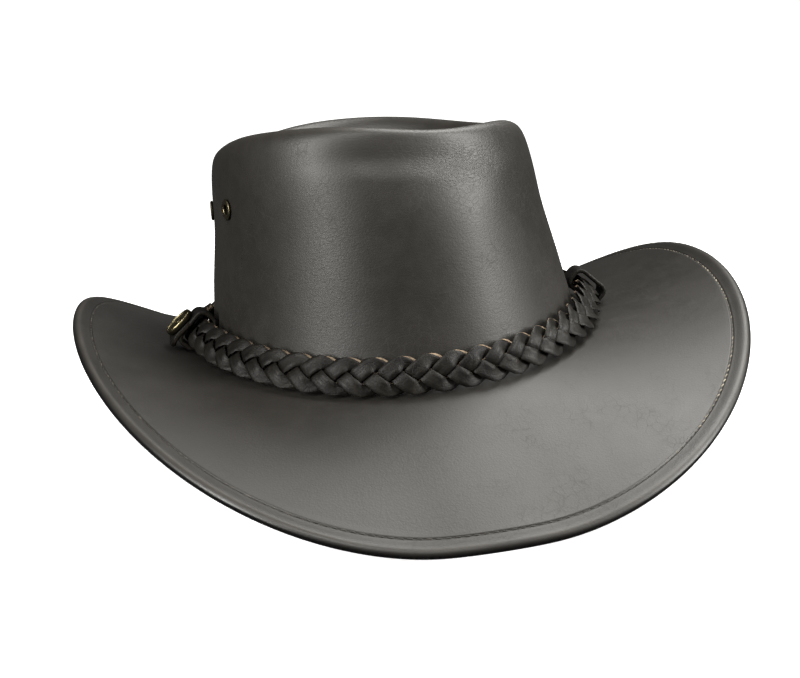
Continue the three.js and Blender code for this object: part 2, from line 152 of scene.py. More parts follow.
def grid_normals(points):
    """Unit normals of a grid that closes along its columns: the cross product of the steps along
    the columns and along the rows."""
    along = np.roll(points, -1, axis=1) - np.roll(points, 1, axis=1)
    return unit(np.cross(along, np.gradient(points, axis=0)))


def ripple(points, length, count, seed):
    """Soft unevenness from -1 to 1: the mean of plane waves of about one length in random
    directions, cos(k . p + phase)."""
    random = np.random.default_rng(seed)
    waves = unit(random.normal(size=(count, 3))) * TURN / (length * random.uniform(0.7, 1.5, (count, 1)))
    phases = random.uniform(0, TURN, count)
    return np.cos(points @ waves.T + phases).mean(axis=-1) * math.sqrt(2 / 3 * count) / 2


def smooth_rows(table, distances, count):
    """Every column of the table on a monotone cubic curve through its rows, at even distances. The
    slope at a row is the harmonic mean of the slopes to its neighbours, or 0 where they disagree."""
    steps = np.diff(distances)[:, None]
    slopes = np.diff(table, axis=0) / steps
    agree = slopes[:-1] * slopes[1:] > 0
    total = np.where(agree, slopes[:-1] + slopes[1:], 1)
    inner = np.where(agree, 2 * slopes[:-1] * slopes[1:] / total, 0)
    tangents = np.vstack([slopes[:1], inner, slopes[-1:]])
    wanted = np.linspace(0, distances[-1], count)
    row = np.clip(np.searchsorted(distances, wanted, side="right") - 1, 0, len(steps) - 1)
    t = ((wanted - distances[row]) / steps[row, 0])[:, None]
    ends = mix(table[row], table[row + 1], t * t * (3 - 2 * t))
    return ends + steps[row] * ((t**3 - 2 * t**2 + t) * tangents[row] + (t**3 - t**2) * tangents[row + 1])


# %% [markdown]
# Camera
#
# The photograph looks at the hat from the front, a little from its right-hand side and about 13
# degrees above the surface it rests on, and leans 5 degrees. The distance and the lens came from
# fitting the outline of the hat, so the curl of the brim has the same perspective.

# %% Camera
CAMERA_AZIMUTH = math.radians(-8.74)
CAMERA_ELEVATION = math.radians(12.71)
CAMERA_ROLL = math.radians(5.04)
CAMERA_DISTANCE = 539.3 * MM
TARGET_HEIGHT = 39.95 * MM
TARGET_ASIDE = -1.99 * MM
LENS = 48.75
SENSOR = 36.0


def camera_axes(azimuth, elevation, roll):
    """Right, up and back directions: back points from the target to the camera."""
    flat = math.cos(elevation)
    back = np.array([math.sin(azimuth) * flat, -math.cos(azimuth) * flat, math.sin(elevation)])
    right = np.array([math.cos(azimuth), math.sin(azimuth), 0.0])
    up = np.cross(back, right)
    turned = right * math.cos(roll) - up * math.sin(roll)
    return right, turned, right * math.sin(roll) + up * math.cos(roll), back


def add_camera():
    level, right, up, back = camera_axes(CAMERA_AZIMUTH, CAMERA_ELEVATION, CAMERA_ROLL)
    place = np.array([0, 0, TARGET_HEIGHT]) + level * TARGET_ASIDE + back * CAMERA_DISTANCE
    camera = bpy.data.objects.new("camera", bpy.data.cameras.new("camera"))
    camera.data.lens = LENS
    camera.data.sensor_width = SENSOR
    camera.data.clip_start = 0.01
    matrix = np.eye(4)
    matrix[:3] = np.column_stack([right, up, back, place])
    camera.matrix_world = Matrix(matrix.tolist())
    bpy.context.scene.collection.objects.link(camera)
    bpy.context.scene.camera = camera
    print("camera at", np.round(place, 3))


add_camera()

# %% [markdown]
# Studio
#
# The hat stands on pale paper that runs up behind it. Dark leather shows little but what it
# reflects, so the room itself is dim and the lights are large: a wide one above and to the right
# that lies on the front of the brim, a tall one on each side that draws an upright band of light on
# the crown, and a low, wide one in front that lights the crown's rim. The paper glows a little and
# is left out of the reflections, so that it stays white without washing out the leather.

# %% Studio
ROOM_STRENGTH = 0.05
PAPER_HALF_WIDTH = 3.0
PAPER_FRONT = -3.0
PAPER_BEND = 1.4  # where the paper starts to rise
PAPER_RADIUS = 0.8
PAPER_HEIGHT = 3.0
PAPER_DROP = 0.1 * MM  # the paper lies this far under the hat
PAPER_GLOW = 0.85
PAPER_COLOUR, WHITE = (0.86, 0.86, 0.86, 1), (1, 1, 1, 1)
LIGHTS = {
    "overhead": {"toward": (0.5, 0.14, 1), "distance": 1.4, "size": (1.15, 0.85), "radiance": 9.2},
    "tall_left": {"toward": (-0.76, -0.55, 0.33), "distance": 1.3, "size": (0.34, 0.85), "radiance": 20},
    "tall_right": {"toward": (0.83, -0.46, 0.33), "distance": 1.3, "size": (0.34, 0.85), "radiance": 24},
    "rim": {"toward": (-0.3, -0.85, 0.95), "distance": 1.3, "size": (0.6, 0.35), "radiance": 10},
}
LIGHTS_AIM = Vector((0, 0, 0.08))
LIGHT_COLOUR = (1.0, 0.995, 0.955)


def paper_points():
    """The sweep's profile, straight, a quarter circle, straight, carried from side to side."""
    turn = np.linspace(0, TURN / 4, 24)
    bend, rise = PAPER_BEND + PAPER_RADIUS * np.sin(turn), PAPER_RADIUS * (1 - np.cos(turn))
    y = np.concatenate([[PAPER_FRONT], bend, [PAPER_BEND + PAPER_RADIUS]])
    z = np.concatenate([[0], rise, [PAPER_HEIGHT]]) - PAPER_DROP
    x = np.array([-PAPER_HALF_WIDTH, PAPER_HALF_WIDTH])[:, None]
    return np.stack([x + 0 * y, y + 0 * x, z + 0 * x], axis=-1)


def add_paper():
    points = paper_points()
    count = points.shape[1]
    low = np.arange(count - 1)
    quads = np.stack([low, low + count, low + count + 1, low + 1], axis=-1)
    mesh = new_mesh("paper", points, quads)
    paper = bpy.data.objects.new("paper", mesh)
    bpy.context.scene.collection.objects.link(paper)
    material = bpy.data.materials.new("paper")
    material.use_nodes = True
    look = {"Base Color": PAPER_COLOUR, "Roughness": 0.9, "Emission Color": WHITE,
            "Emission Strength": PAPER_GLOW}
    for key, value in look.items():
        material.node_tree.nodes["Principled BSDF"].inputs[key].default_value = value
    mesh.materials.append(material)
    paper.visible_diffuse = paper.visible_glossy = False


def add_light(name, toward, distance, size, radiance):
    """A rectangle of light in a direction from the hat. Its power is radiance * pi * area."""
    light = bpy.data.lights.new(name, "AREA")
    light.shape = "RECTANGLE"
    light.size, light.size_y = size
    light.energy = radiance * math.pi * size[0] * size[1]
    light.color = LIGHT_COLOUR
    lamp = bpy.data.objects.new(name, light)
    direction = Vector(toward).normalized()
    lamp.location = LIGHTS_AIM + direction * distance
    lamp.rotation_euler = (-direction).to_track_quat("-Z", "Y").to_euler()
    bpy.context.scene.collection.objects.link(lamp)


def add_room():
    """White where the camera sees it, dim where the leather does."""
    world = bpy.data.worlds.new("studio")
    world.use_nodes = True
    nodes, links = world.node_tree.nodes, world.node_tree.links
    seen = nodes.new("ShaderNodeLightPath").outputs["Is Camera Ray"]
    strength = nodes.new("ShaderNodeMapRange")
    links.new(seen, strength.inputs["Value"])
    strength.inputs["To Min"].default_value = ROOM_STRENGTH
    strength.inputs["To Max"].default_value = 1.0
    links.new(strength.outputs["Result"], nodes["Background"].inputs["Strength"])
    nodes["Background"].inputs["Color"].default_value = WHITE
    bpy.context.scene.world = world


add_paper()
add_room()
for name, light in LIGHTS.items():
    add_light(name, **light)
bpy.context.scene.view_settings.view_transform = "Standard"

# %% [markdown]
# Finishes
#
# Leather's surface is built from a few effects at different sizes: pores under a millimetre, fine
# creases of a few millimetres and a slow mottling where oil and hands have darkened it. Each is a
# node group with named inputs, made once and used with other values on the hat and on the straps.
# They read object coordinates, so the pattern stays on the leather from any side.


# %% Node helpers
def put(tree, kind, feeds=None, **settings):
    """A node with its settings. Each input in feeds is given a value, or linked to a socket."""
    node = tree.nodes.new(kind)
    for key, value in settings.items():
        setattr(node, key, value)
    for key, value in (feeds or {}).items():
        if isinstance(value, bpy.types.NodeSocket):
            tree.links.new(value, node.inputs[key])
        else:
            node.inputs[key].default_value = value
    return node


def math_node(tree, operation, *values):
    return put(tree, "ShaderNodeMath", dict(enumerate(values)), operation=operation).outputs[0]


def ramp(tree, value, low, high, to_low=0.0, to_high=1.0):
    """Carries a value smoothly from one range to another, and holds it at the ends."""
    feeds = {"Value": value, "From Min": low, "From Max": high, "To Min": to_low, "To Max": to_high}
    return put(tree, "ShaderNodeMapRange", feeds, interpolation_type="SMOOTHSTEP").outputs["Result"]


def blend(tree, share, first, second):
    """A colour mixed by a share. Inputs 6 and 7 of a mix node are its two colours."""
    node = put(tree, "ShaderNodeMix", {"Factor": share}, data_type="RGBA")
    for key, value in ((6, first), (7, second)):
        if isinstance(value, bpy.types.NodeSocket):
            tree.links.new(value, node.inputs[key])
        else:
            node.inputs[key].default_value = (*value, 1)
    return node.outputs[2]


def object_place(tree):
    return put(tree, "ShaderNodeTexCoord").outputs["Object"]


def noise(tree, where, scale, detail=3.0, roughness=0.55):
    feeds = {"Vector": where, "Scale": scale, "Detail": detail, "Roughness": roughness}
    return put(tree, "ShaderNodeTexNoise", feeds).outputs["Fac"]


def new_group(name, inputs, outputs):
    """An empty node group. inputs holds {name: value} and outputs {name: socket type}."""
    group = bpy.data.node_groups.new(name, "ShaderNodeTree")
    for socket, value in inputs.items():
        made = group.interface.new_socket(name=socket, in_out="INPUT", socket_type="NodeSocketFloat")
        made.default_value = value
    for socket, kind in outputs.items():
        group.interface.new_socket(name=socket, in_out="OUTPUT", socket_type=kind)
    return group, group.nodes.new("NodeGroupInput"), group.nodes.new("NodeGroupOutput")


# %% The leather effects
def grain_group():
    """Height of the leather's surface: rounded pebbles between pores, a finer noise on them, and
    thin creases along the borders of large cells that a slow noise has bent."""
    group, given, result = new_group(
        "leather_grain",
        {"Pore Scale": 1100.0, "Crease Scale": 90.0, "Pores": 0.5, "Creases": 0.4},
        {"Height": "NodeSocketFloat", "Crease": "NodeSocketFloat"},
    )
    where = object_place(group)
    bend = put(group, "ShaderNodeTexNoise", {"Vector": where, "Scale": 45.0, "Detail": 2.0})
    feeds = {0: bend.outputs["Color"], "Scale": 0.012}
    shift = put(group, "ShaderNodeVectorMath", feeds, operation="SCALE")
    bent = put(group, "ShaderNodeVectorMath", {0: where, 1: shift.outputs[0]}, operation="ADD").outputs[0]
    cells = put(group, "ShaderNodeTexVoronoi", {"Vector": where, "Scale": given.outputs["Pore Scale"]})
    pebbles = ramp(group, cells.outputs["Distance"], 0.1, 0.75, 1.0, 0.0)
    fine = noise(group, where, 2600.0, 2.0)
    lines = put(
        group, "ShaderNodeTexVoronoi", {"Vector": bent, "Scale": given.outputs["Crease Scale"]},
        feature="DISTANCE_TO_EDGE",
    )
    broken = ramp(group, noise(group, where, 60.0), 0.42, 0.62)
    thin = ramp(group, lines.outputs["Distance"], 0.0, 0.07, 1.0, 0.0)
    crease = math_node(group, "MULTIPLY", thin, broken)
    grain = math_node(group, "MULTIPLY_ADD", fine, 0.35, pebbles)
    grain = math_node(group, "MULTIPLY", grain, given.outputs["Pores"])
    dug = math_node(group, "MULTIPLY", crease, given.outputs["Creases"])
    group.links.new(math_node(group, "SUBTRACT", grain, dug), result.inputs["Height"])
    group.links.new(crease, result.inputs["Crease"])
    return group


def mottle_group():
    """Slow unevenness from 0 to 1: two sizes of noise, one of them stretched, for oil and handling."""
    group, given, result = new_group("mottle", {"Scale": 14.0}, {"Mottle": "NodeSocketFloat"})
    where = object_place(group)
    large = noise(group, where, given.outputs["Scale"], 4.0, 0.6)
    small = noise(group, where, math_node(group, "MULTIPLY", given.outputs["Scale"], 9.0), 5.0, 0.65)
    both = math_node(group, "MULTIPLY_ADD", small, 0.45, math_node(group, "MULTIPLY", large, 0.75))
    group.links.new(ramp(group, both, 0.38, 0.82), result.inputs["Mottle"])
    return group


GRAIN = grain_group()
MOTTLE = mottle_group()


def new_material(name):
    material = bpy.data.materials.new(name)
    material.use_nodes = True
    return material.node_tree, material.node_tree.nodes["Principled BSDF"], material


def attribute(tree, name):
    return put(tree, "ShaderNodeAttribute", attribute_name=name).outputs["Fac"]


def add_bump(tree, shader, height, strength, distance):
    bump = put(tree, "ShaderNodeBump", {"Strength": strength, "Distance": distance, "Height": height})
    tree.links.new(bump.outputs["Normal"], shader.inputs["Normal"])


def with_group(tree, group, feeds=None):
    """A node of the group with its inputs given."""
    return put(tree, "ShaderNodeGroup", feeds, node_tree=group).outputs


# %% Leather of the hat
HAT_DARK = (0.0148, 0.0133, 0.0115)
HAT_LIGHT = (0.0215, 0.0192, 0.0166)
# lighter leather for wear on the crown's ridge and the roll, and for a painted highlight on the roll's
# top
HAT_WORN_AND_SHEEN = (0.045, 0.040, 0.035)
HAT_PAINTED_SHADE = (0.0035, 0.0033, 0.0032)  # painted shade on the underside of the roll
WRINKLE_SLANT, WRINKLE_STRETCH = math.radians(-38), 3.4
WRINKLE_SCALE, WRINKLE_DEPTH = 250.0, 1.6
SUEDE_DARK, SUEDE_LIGHT, SUEDE_NAP = (0.030, 0.024, 0.019), (0.055, 0.044, 0.034), (0.075, 0.060, 0.046)


def hat_leather():
    """Smooth, waxed leather: dark and satin. The mesh says with attributes where it is lighter from
    wear, with a painted highlight on the roll's top, where painted shade darkens the roll's underside,
    and where it is wrinkled."""
    tree, shader, material = new_material("hat_leather")
    grain = with_group(tree, GRAIN, {"Pores": 0.3, "Creases": 0.15, "Crease Scale": 260.0})
    mottle = with_group(tree, MOTTLE)["Mottle"]
    # wear, and on the roll's top a painted highlight
    rubbed_and_sheen = math_node(tree, "MULTIPLY", attribute(tree, "rubbed_and_sheen"), patches(tree, 35.0))
    colour = blend(tree, mottle, HAT_DARK, HAT_LIGHT)
    colour = blend(tree, rubbed_and_sheen, colour, HAT_WORN_AND_SHEEN)
    # painted shade under the roll, fading out under the brim; the same mask makes it smoother
    shade_and_polish = attribute(tree, "shade_and_polish")
    tree.links.new(blend(tree, shade_and_polish, colour, HAT_PAINTED_SHADE), shader.inputs["Base Color"])
    rough = ramp(tree, mottle, 0.0, 1.0, 0.42, 0.47)
    rough = math_node(tree, "MULTIPLY_ADD", grain["Crease"], 0.08, rough)
    rough = math_node(tree, "MULTIPLY_ADD", shade_and_polish, -0.16, rough)
    tree.links.new(rough, shader.inputs["Roughness"])
    height = math_node(tree, "MULTIPLY_ADD", attribute(tree, "wrinkle"), wrinkles(tree), grain["Height"])
    add_bump(tree, shader, height, 0.5, 0.09 * MM)
    return material


def patches(tree, scale):
    """Soft patches between 0.35 and 1, to break up a mask."""
    return ramp(tree, noise(tree, object_place(tree), scale, 4.0), 0.35, 0.65, 0.35, 1.0)


def wrinkles(tree):
    """Fine slanting folds: valleys where a noise, stretched along one direction, passes its middle."""
    turn, stretch = (0, WRINKLE_SLANT, 0), (1, 1, WRINKLE_STRETCH)
    feeds = {"Vector": object_place(tree), "Rotation": turn, "Scale": stretch}
    turned = put(tree, "ShaderNodeMapping", feeds).outputs[0]
    lines = math_node(tree, "SUBTRACT", noise(tree, turned, WRINKLE_SCALE, 4.0, 0.5), 0.5)
    return ramp(tree, math_node(tree, "ABSOLUTE", lines), 0.0, 0.08, -WRINKLE_DEPTH, 0.0)


# %% Suede of the inside
def suede():
    """The leather's flesh side: matt, fibrous, a little lighter."""
    tree, shader, material = new_material("suede")
    nap = noise(tree, object_place(tree), 900.0, 6.0, 0.7)
    mottle = with_group(tree, MOTTLE)["Mottle"]
    colour = blend(tree, mottle, SUEDE_DARK, SUEDE_LIGHT)
    tree.links.new(blend(tree, nap, colour, SUEDE_NAP), shader.inputs["Base Color"])
    shader.inputs["Roughness"].default_value = 0.95
    add_bump(tree, shader, nap, 0.7, 0.25 * MM)
    return material


HAT_LEATHER = hat_leather()
SUEDE = suede()

# %% [markdown]
# Crown
#
# The crown is one moulded shell: a wall that leans in, a soft ridge and a hollow in the top. Its
# shape is a table of sections, as shares of the frame's sizes, with a smooth curve through each
# column, so a ring at any height is an ellipse that the ridge's height bends. Solidify then gives
# the leather its thickness. A subdivided cage would also do, but the ridge's height changes all
# the way round, and a formula keeps that even.

# %% Sizes of the crown
crown_low, crown_high = (np.array(corner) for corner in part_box("crown"))
brim_low, brim_high = (np.array(corner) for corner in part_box("brim"))
HEAD_LENGTH = crown_high[1] - crown_low[1]
HEAD_WIDTH = crown_high[0] - crown_low[0]
HEAD_MIDDLE = (crown_high[0] + crown_low[0]) / 2
WALL = 2 * MM
GAP = 0.3 * MM
FOOT_FRONT, FOOT_SIDE, FOOT_BACK = 41.2 * MM, 49 * MM, 31.6 * MM
CROWN_FRONT, CROWN_BACK = 111.3 * MM, 116.4 * MM
CROWN_LEFT, CROWN_RIGHT = 91.3 * MM, 91.7 * MM
RIDGE_TILT_LEFT, RIDGE_TILT_RIGHT = 5.4 * MM, 1.2 * MM
LEAN_LEFT = 6.1 * MM
TOP_HOLLOW = 18 * MM
DENT_DROP, DENT_PUSH, DENT_ANGLE, DENT_SPREAD = 8.3 * MM, 5 * MM, 12.5, 33.5

# up: share of the wall's height; sink: share of the way down into the top's hollow; across and
# along: shares of the foot's half width and length; dent: share of the front dent's push
SECTION_COLUMNS = ("up", "sink", "across", "along", "dent")
CROWN_SECTIONS = np.array([
    (0, 0, 1, 1, 0),
    (0.1, 0, 0.974, 0.984, 0),
    (0.33, 0, 0.93, 0.952, 0),
    (0.62, 0, 0.87, 0.926, 0),
    (0.8, 0, 0.85, 0.912, 0.3),
    (0.89, 0, 0.835, 0.903, 1),
    (0.95, 0, 0.816, 0.89, 0.85),
    (0.985, 0, 0.788, 0.865, 0.45),
    (1, 0, 0.75, 0.826, 0.15),
    (1, 0.1, 0.711, 0.785, 0),
    (1, 0.5, 0.663, 0.732, 0),
    (1, 0.87, 0.593, 0.655, 0),
    (1, 1, 0.478, 0.52, 0),
    (1, 1.02, 0.248, 0.26, 0),
    (1, 1.02, 0.01, 0.01, 0),
])


def side_share(u):
    """How far an angle lies to the side: sin(u) squared. u runs from the front towards +X."""
    return np.sin(u) ** 2


def foot_height(u):
    front_back = np.where(np.cos(u) > 0, FOOT_FRONT, FOOT_BACK)
    return mix(front_back, FOOT_SIDE, side_share(u))


def ridge_height(u):
    """The ridge is high in front and behind and low at the sides. Each side climbs a little towards
    the front, by sin(u)^4 cos(u), and there is a dent beside the front."""
    ends = np.where(np.cos(u) > 0, FOOT_FRONT + CROWN_FRONT, FOOT_BACK + CROWN_BACK)
    sides = FOOT_SIDE + np.where(np.sin(u) < 0, CROWN_LEFT, CROWN_RIGHT)
    tilt = 2 * np.where(np.sin(u) < 0, RIDGE_TILT_LEFT, RIDGE_TILT_RIGHT) * side_share(u) ** 2 * np.cos(u)
    return mix(ends, sides, side_share(u)) + tilt - DENT_DROP * bell(u, DENT_ANGLE, DENT_SPREAD)


def crown_points(u, rows):
    """Rings of the crown: x and y follow an ellipse with the row's shares, and z runs from the foot
    to the ridge and then down to the hollow's floor."""
    up, sink, across, along, dent = (rows[:, [n]] for n in range(len(SECTION_COLUMNS)))
    wall = mix(foot_height(u) + GAP, ridge_height(u), up)
    floor = FOOT_SIDE + min(CROWN_LEFT, CROWN_RIGHT) - TOP_HOLLOW
    push = DENT_PUSH * dent * bell(u, DENT_ANGLE, DENT_SPREAD)
    x = HEAD_MIDDLE - LEAN_LEFT * up + HEAD_WIDTH / 2 * across * np.sin(u)
    y = (push - HEAD_LENGTH / 2 * along) * np.cos(u)
    return np.stack([x, y, mix(wall, floor, sink)], axis=-1)


# %% Outside of the crown
CROWN_COLUMNS = 360
CROWN_ROWS = 136
VENTS = ("eyelet_left_front", "eyelet_left_back", "eyelet_right_front", "eyelet_right_back")
VENT_RADIUS = 3.0 * MM
UNEVEN_LENGTH = 55 * MM
CROWN_UNEVEN = 0.35 * MM
RIPPLE_WAVES = 24
FOOT_ROWS = 20  # over these rows the unevenness comes in, so that the foot stays true


def section_distances():
    """How far each row of the table lies along the crown's mean profile."""
    up, sink, across, along, _ = CROWN_SECTIONS.T
    out = (across * HEAD_WIDTH + along * HEAD_LENGTH) / 4
    high = up * (CROWN_FRONT + CROWN_LEFT) / 2 - sink * TOP_HOLLOW
    return np.concatenate([[0], np.cumsum(np.hypot(np.diff(out), np.diff(high)))])


crown_angles = TURN * np.arange(CROWN_COLUMNS) / CROWN_COLUMNS
crown_rows = smooth_rows(CROWN_SECTIONS, section_distances(), CROWN_ROWS)
crown_grid = crown_points(crown_angles, crown_rows)
crown_normals = grid_normals(crown_grid)
settle = np.minimum(1, np.arange(CROWN_ROWS) / FOOT_ROWS)[:, None, None]
uneven = ripple(crown_grid, UNEVEN_LENGTH, RIPPLE_WAVES, 5)[..., None]
crown_grid += crown_normals * CROWN_UNEVEN * settle * uneven
print("crown stands", round(float(crown_grid[..., 2].max()), 4), "m high")


# %% Vent holes and thickness
def vent_place(name):
    """Middle of a vent on the outside of the crown, and the wall's normal there: the grid's point
    nearest to the middle of the eyelet's box, pushed out by half of the wall."""
    middle = np.mean([list(corner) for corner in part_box(name)], axis=0)
    nearest = np.argmin(np.linalg.norm(crown_grid - middle, axis=-1))
    normal = crown_normals.reshape(-1, 3)[nearest]
    return middle + normal * WALL / 2, normal


def rubbed_crown():
    """Where hands rub the crown: a soft band along the ridge, strongest in front."""
    place = np.arange(CROWN_ROWS) / CROWN_ROWS
    ridge = np.argmax(crown_rows[:, 0] >= 1) / CROWN_ROWS
    band = np.exp(-(((place - ridge) / 0.035) ** 2))[:, None]
    return 0.55 * band * mix(0.5, 1.0, bell(crown_angles, 0, 80))


def wrinkled_crown():
    """Wrinkles lie under the dent in front, fainter ones run down beside it, and traces are
    everywhere."""
    height = crown_rows[:, [0]] * (1 - crown_rows[:, [1]])
    across = bell(crown_angles, DENT_ANGLE + 9, 17) * np.exp(-(((height - 0.85) / 0.07) ** 2))
    down = 0.22 * bell(crown_angles, DENT_ANGLE + 30, 14) * np.clip(3 * height - 1, 0, 1)
    return across + down + 0.12


def add_crown():
    """The grid, closed at the middle of the hollow, without the faces in the vents."""
    quads = grid_faces(CROWN_ROWS, CROWN_COLUMNS)
    centres = crown_grid.reshape(-1, 3)[quads].mean(axis=1)
    for vent in VENTS:
        middle, _ = vent_place(vent)
        away = np.linalg.norm(centres - middle, axis=1)
        quads, centres = quads[away > VENT_RADIUS], centres[away > VENT_RADIUS]
    last = np.arange(CROWN_COLUMNS) + (CROWN_ROWS - 1) * CROWN_COLUMNS
    points = np.vstack([crown_grid.reshape(-1, 3), crown_grid[-1].mean(axis=0)])
    top = pole_faces(last, len(points) - 1)
    masks = {"rubbed_and_sheen": rubbed_crown(), "wrinkle": wrinkled_crown()}
    masks = {name: np.append(values.ravel(), 0) for name, values in masks.items()}
    mesh = new_mesh("crown_shell", points, quads, top, masks)
    crown = new_piece("crown_shell", mesh, [HAT_LEATHER, SUEDE], ["crown"])
    shell = crown.modifiers.new("thickness", "SOLIDIFY")
    shell.thickness = WALL
    shell.offset = -1
    shell.material_offset = 1  # suede inside


add_crown()

# %% [markdown]
# Brim
#
# The brim is a closed ring: top, rolled edge and underside in one section that is carried round
# the hat. The section is straight from the crown to the edge when laid flat, and the curl comes
# from the height, which falls in front and behind and rises at the sides. Near the edge the rows
# lie close together, because the stitch line's groove and the roll are only millimetres wide.

# %% Sizes of the brim
BRIM_LENGTH = brim_high[1] - brim_low[1]
BRIM_WIDTH = brim_high[0] - brim_low[0]
BRIM_THICKNESS = 3 * MM
BRIM_CORNER = 2.25
ROLL_RADIUS = 2.5 * MM
LEFT_LIFT, RIGHT_LIFT, LIFT_POWER = 71 * MM, 66.2 * MM, 1.08
BACKWARD_RISE = 1.8 * MM
FRONT_DROOP, SIDE_CURL = 1.05, 1.46
REST_DIP, REST_PRESS, REST_SOFTEN = 0.8 * MM, 0.5 * MM, 1.2 * MM
SLOPE_STEP = 0.01


def edge_points(u):
    """Middle of the rolled edge: a superellipse in plan, lifted at the sides. Where it rests it has
    settled flat, and it leaves the surface as (a + sqrt(a^2 + softness^2)) / 2."""
    sine, cosine = np.sin(u), np.cos(u)
    reach = (np.abs(sine) ** BRIM_CORNER + np.abs(cosine) ** BRIM_CORNER) ** (-1 / BRIM_CORNER)
    rise = np.where(sine < 0, LEFT_LIFT, RIGHT_LIFT) + REST_DIP
    lift = rise * side_share(u) ** LIFT_POWER - 2 * BACKWARD_RISE * side_share(u) * cosine
    x = (BRIM_WIDTH / 2 - ROLL_RADIUS) * sine * reach
    y = -(BRIM_LENGTH / 2 - ROLL_RADIUS) * cosine * reach
    settled = (lift - REST_DIP + np.hypot(lift - REST_DIP, REST_SOFTEN)) / 2
    return np.stack([x, y, ROLL_RADIUS - REST_PRESS + settled], axis=-1)


def foot_points(u, inward=0.0):
    x = HEAD_MIDDLE + (HEAD_WIDTH / 2 - inward) * np.sin(u)
    return np.stack([x, -(HEAD_LENGTH / 2 - inward) * np.cos(u), foot_height(u)], axis=-1)


def brim_middle(u, t):
    """Middle of the leather, t from 0 at the crown to 1 at the edge: straight in plan, with the
    height following t to a power, so that the fall or the rise comes early or late."""
    foot, edge = foot_points(u), edge_points(u)
    point = mix(foot, edge, t[..., None])
    curl = mix(FRONT_DROOP, SIDE_CURL, side_share(u))
    point[..., 2] = mix(foot[..., 2] - BRIM_THICKNESS / 2, edge[..., 2], np.maximum(t, 0) ** curl)
    return point


def brim_directions(u, t):
    """Unit directions across the brim, outwards and upwards, from small steps of t and of u."""
    out = brim_middle(u, t + SLOPE_STEP) - brim_middle(u, np.maximum(t - SLOPE_STEP, 0))
    along = brim_middle(u + SLOPE_STEP, t) - brim_middle(u - SLOPE_STEP, t)
    up = unit(np.cross(out, along))
    return unit(out), up * np.sign(up[..., [2]])


def brim_width(u):
    return np.linalg.norm(edge_points(u) - foot_points(u), axis=-1)


def over_brim(u, t, lift):
    """Places at some height over the brim's upper surface."""
    return brim_middle(u, t) + brim_directions(u, t)[1] * (BRIM_THICKNESS / 2 + lift)[..., None]


# %% The brim's section
BRIM_COLUMNS = 480
STITCH_INSIDE = 4.96 * MM  # the stitch line's distance from the middle of the roll
GROOVE_DEPTH, GROOVE_WIDTH = 0.5 * MM, 0.4 * MM
UNDER_GROOVE = 0.5  # share of that depth underneath
PILLOW_WIDTH = 4.6 * MM  # over this width the folded edge swells to the roll
BRIM_UNEVEN = 0.5 * MM
FINE_EDGE = 11 * MM  # width of the finely divided strip along the edge
TOP_ROWS, UNDER_ROWS = (50, 56), (28, 26)  # coarse and fine rows
ROLL_ROWS = 18
ROLL_TOP = 2.05 * MM  # height of the roll's upper half over its middle


def stitch_ditch(distance):
    return np.exp(-(((distance - STITCH_INSIDE) / GROOVE_WIDTH) ** 2))


def pillow(distance, height):
    """The folded edge swells from the leather's thickness to the roll's by 3 s^2 - 2 s^3."""
    share = np.clip(1 - distance / PILLOW_WIDTH, 0, 1)
    return (height - BRIM_THICKNESS / 2) * share**2 * (3 - 2 * share)


def top_height(distance):
    """Height of the upper surface over the leather's middle, by its distance from the roll."""
    return BRIM_THICKNESS / 2 + pillow(distance, ROLL_TOP) - GROOVE_DEPTH * stitch_ditch(distance)


def under_height(distance):
    groove = UNDER_GROOVE * GROOVE_DEPTH * stitch_ditch(distance)
    return groove - BRIM_THICKNESS / 2 - pillow(distance, ROLL_RADIUS)


def flat_rows(u, rows, height):
    """One side of the brim from the crown to the roll, coarse rows first and then fine ones."""
    coarse, fine = rows
    inner = np.linspace(0, 1, coarse, endpoint=False)[:, None] * (1 - FINE_EDGE / brim_width(u))
    near = np.linspace(FINE_EDGE, 0, fine)[:, None]
    t = np.concatenate([inner, 1 - near / brim_width(u)])
    distance = (1 - t) * brim_width(u)
    lift = np.where(distance > FINE_EDGE, height(np.full(1, FINE_EDGE)), height(distance))
    return brim_middle(u, t) + brim_directions(u, t)[1] * lift[..., None]


def roll_rows(u):
    """The rolled edge: the outer half of a circle round the edge's middle, a little lower on top."""
    angle = np.linspace(TURN / 4, -TURN / 4, ROLL_ROWS + 2)[1:-1, None, None]
    out, up = brim_directions(u, np.ones_like(u))
    high = np.where(angle > 0, ROLL_TOP, ROLL_RADIUS)
    return edge_points(u) + out * ROLL_RADIUS * np.cos(angle) + up * high * np.sin(angle)


def roll_masks(rows, first):
    """The roll is lighter on its upper side, from wear and a painted highlight, and darker below, from
    painted shade that fades out under the brim and comes with a smoother finish. The place runs from 0 to
    1 over the roll's rows."""
    place = (np.arange(rows) - first) / ROLL_ROWS
    fade = np.exp(-0.2 * ROLL_ROWS * np.maximum(place - 1, 0))
    masks = {
        "rubbed_and_sheen": 0.7 * np.exp(-(((place - 0.05) / 0.16) ** 2)),
        "shade_and_polish": np.clip((place - 0.22) / 0.25, 0, 1) * fade,
    }
    return {name: np.repeat(values, BRIM_COLUMNS) for name, values in masks.items()}


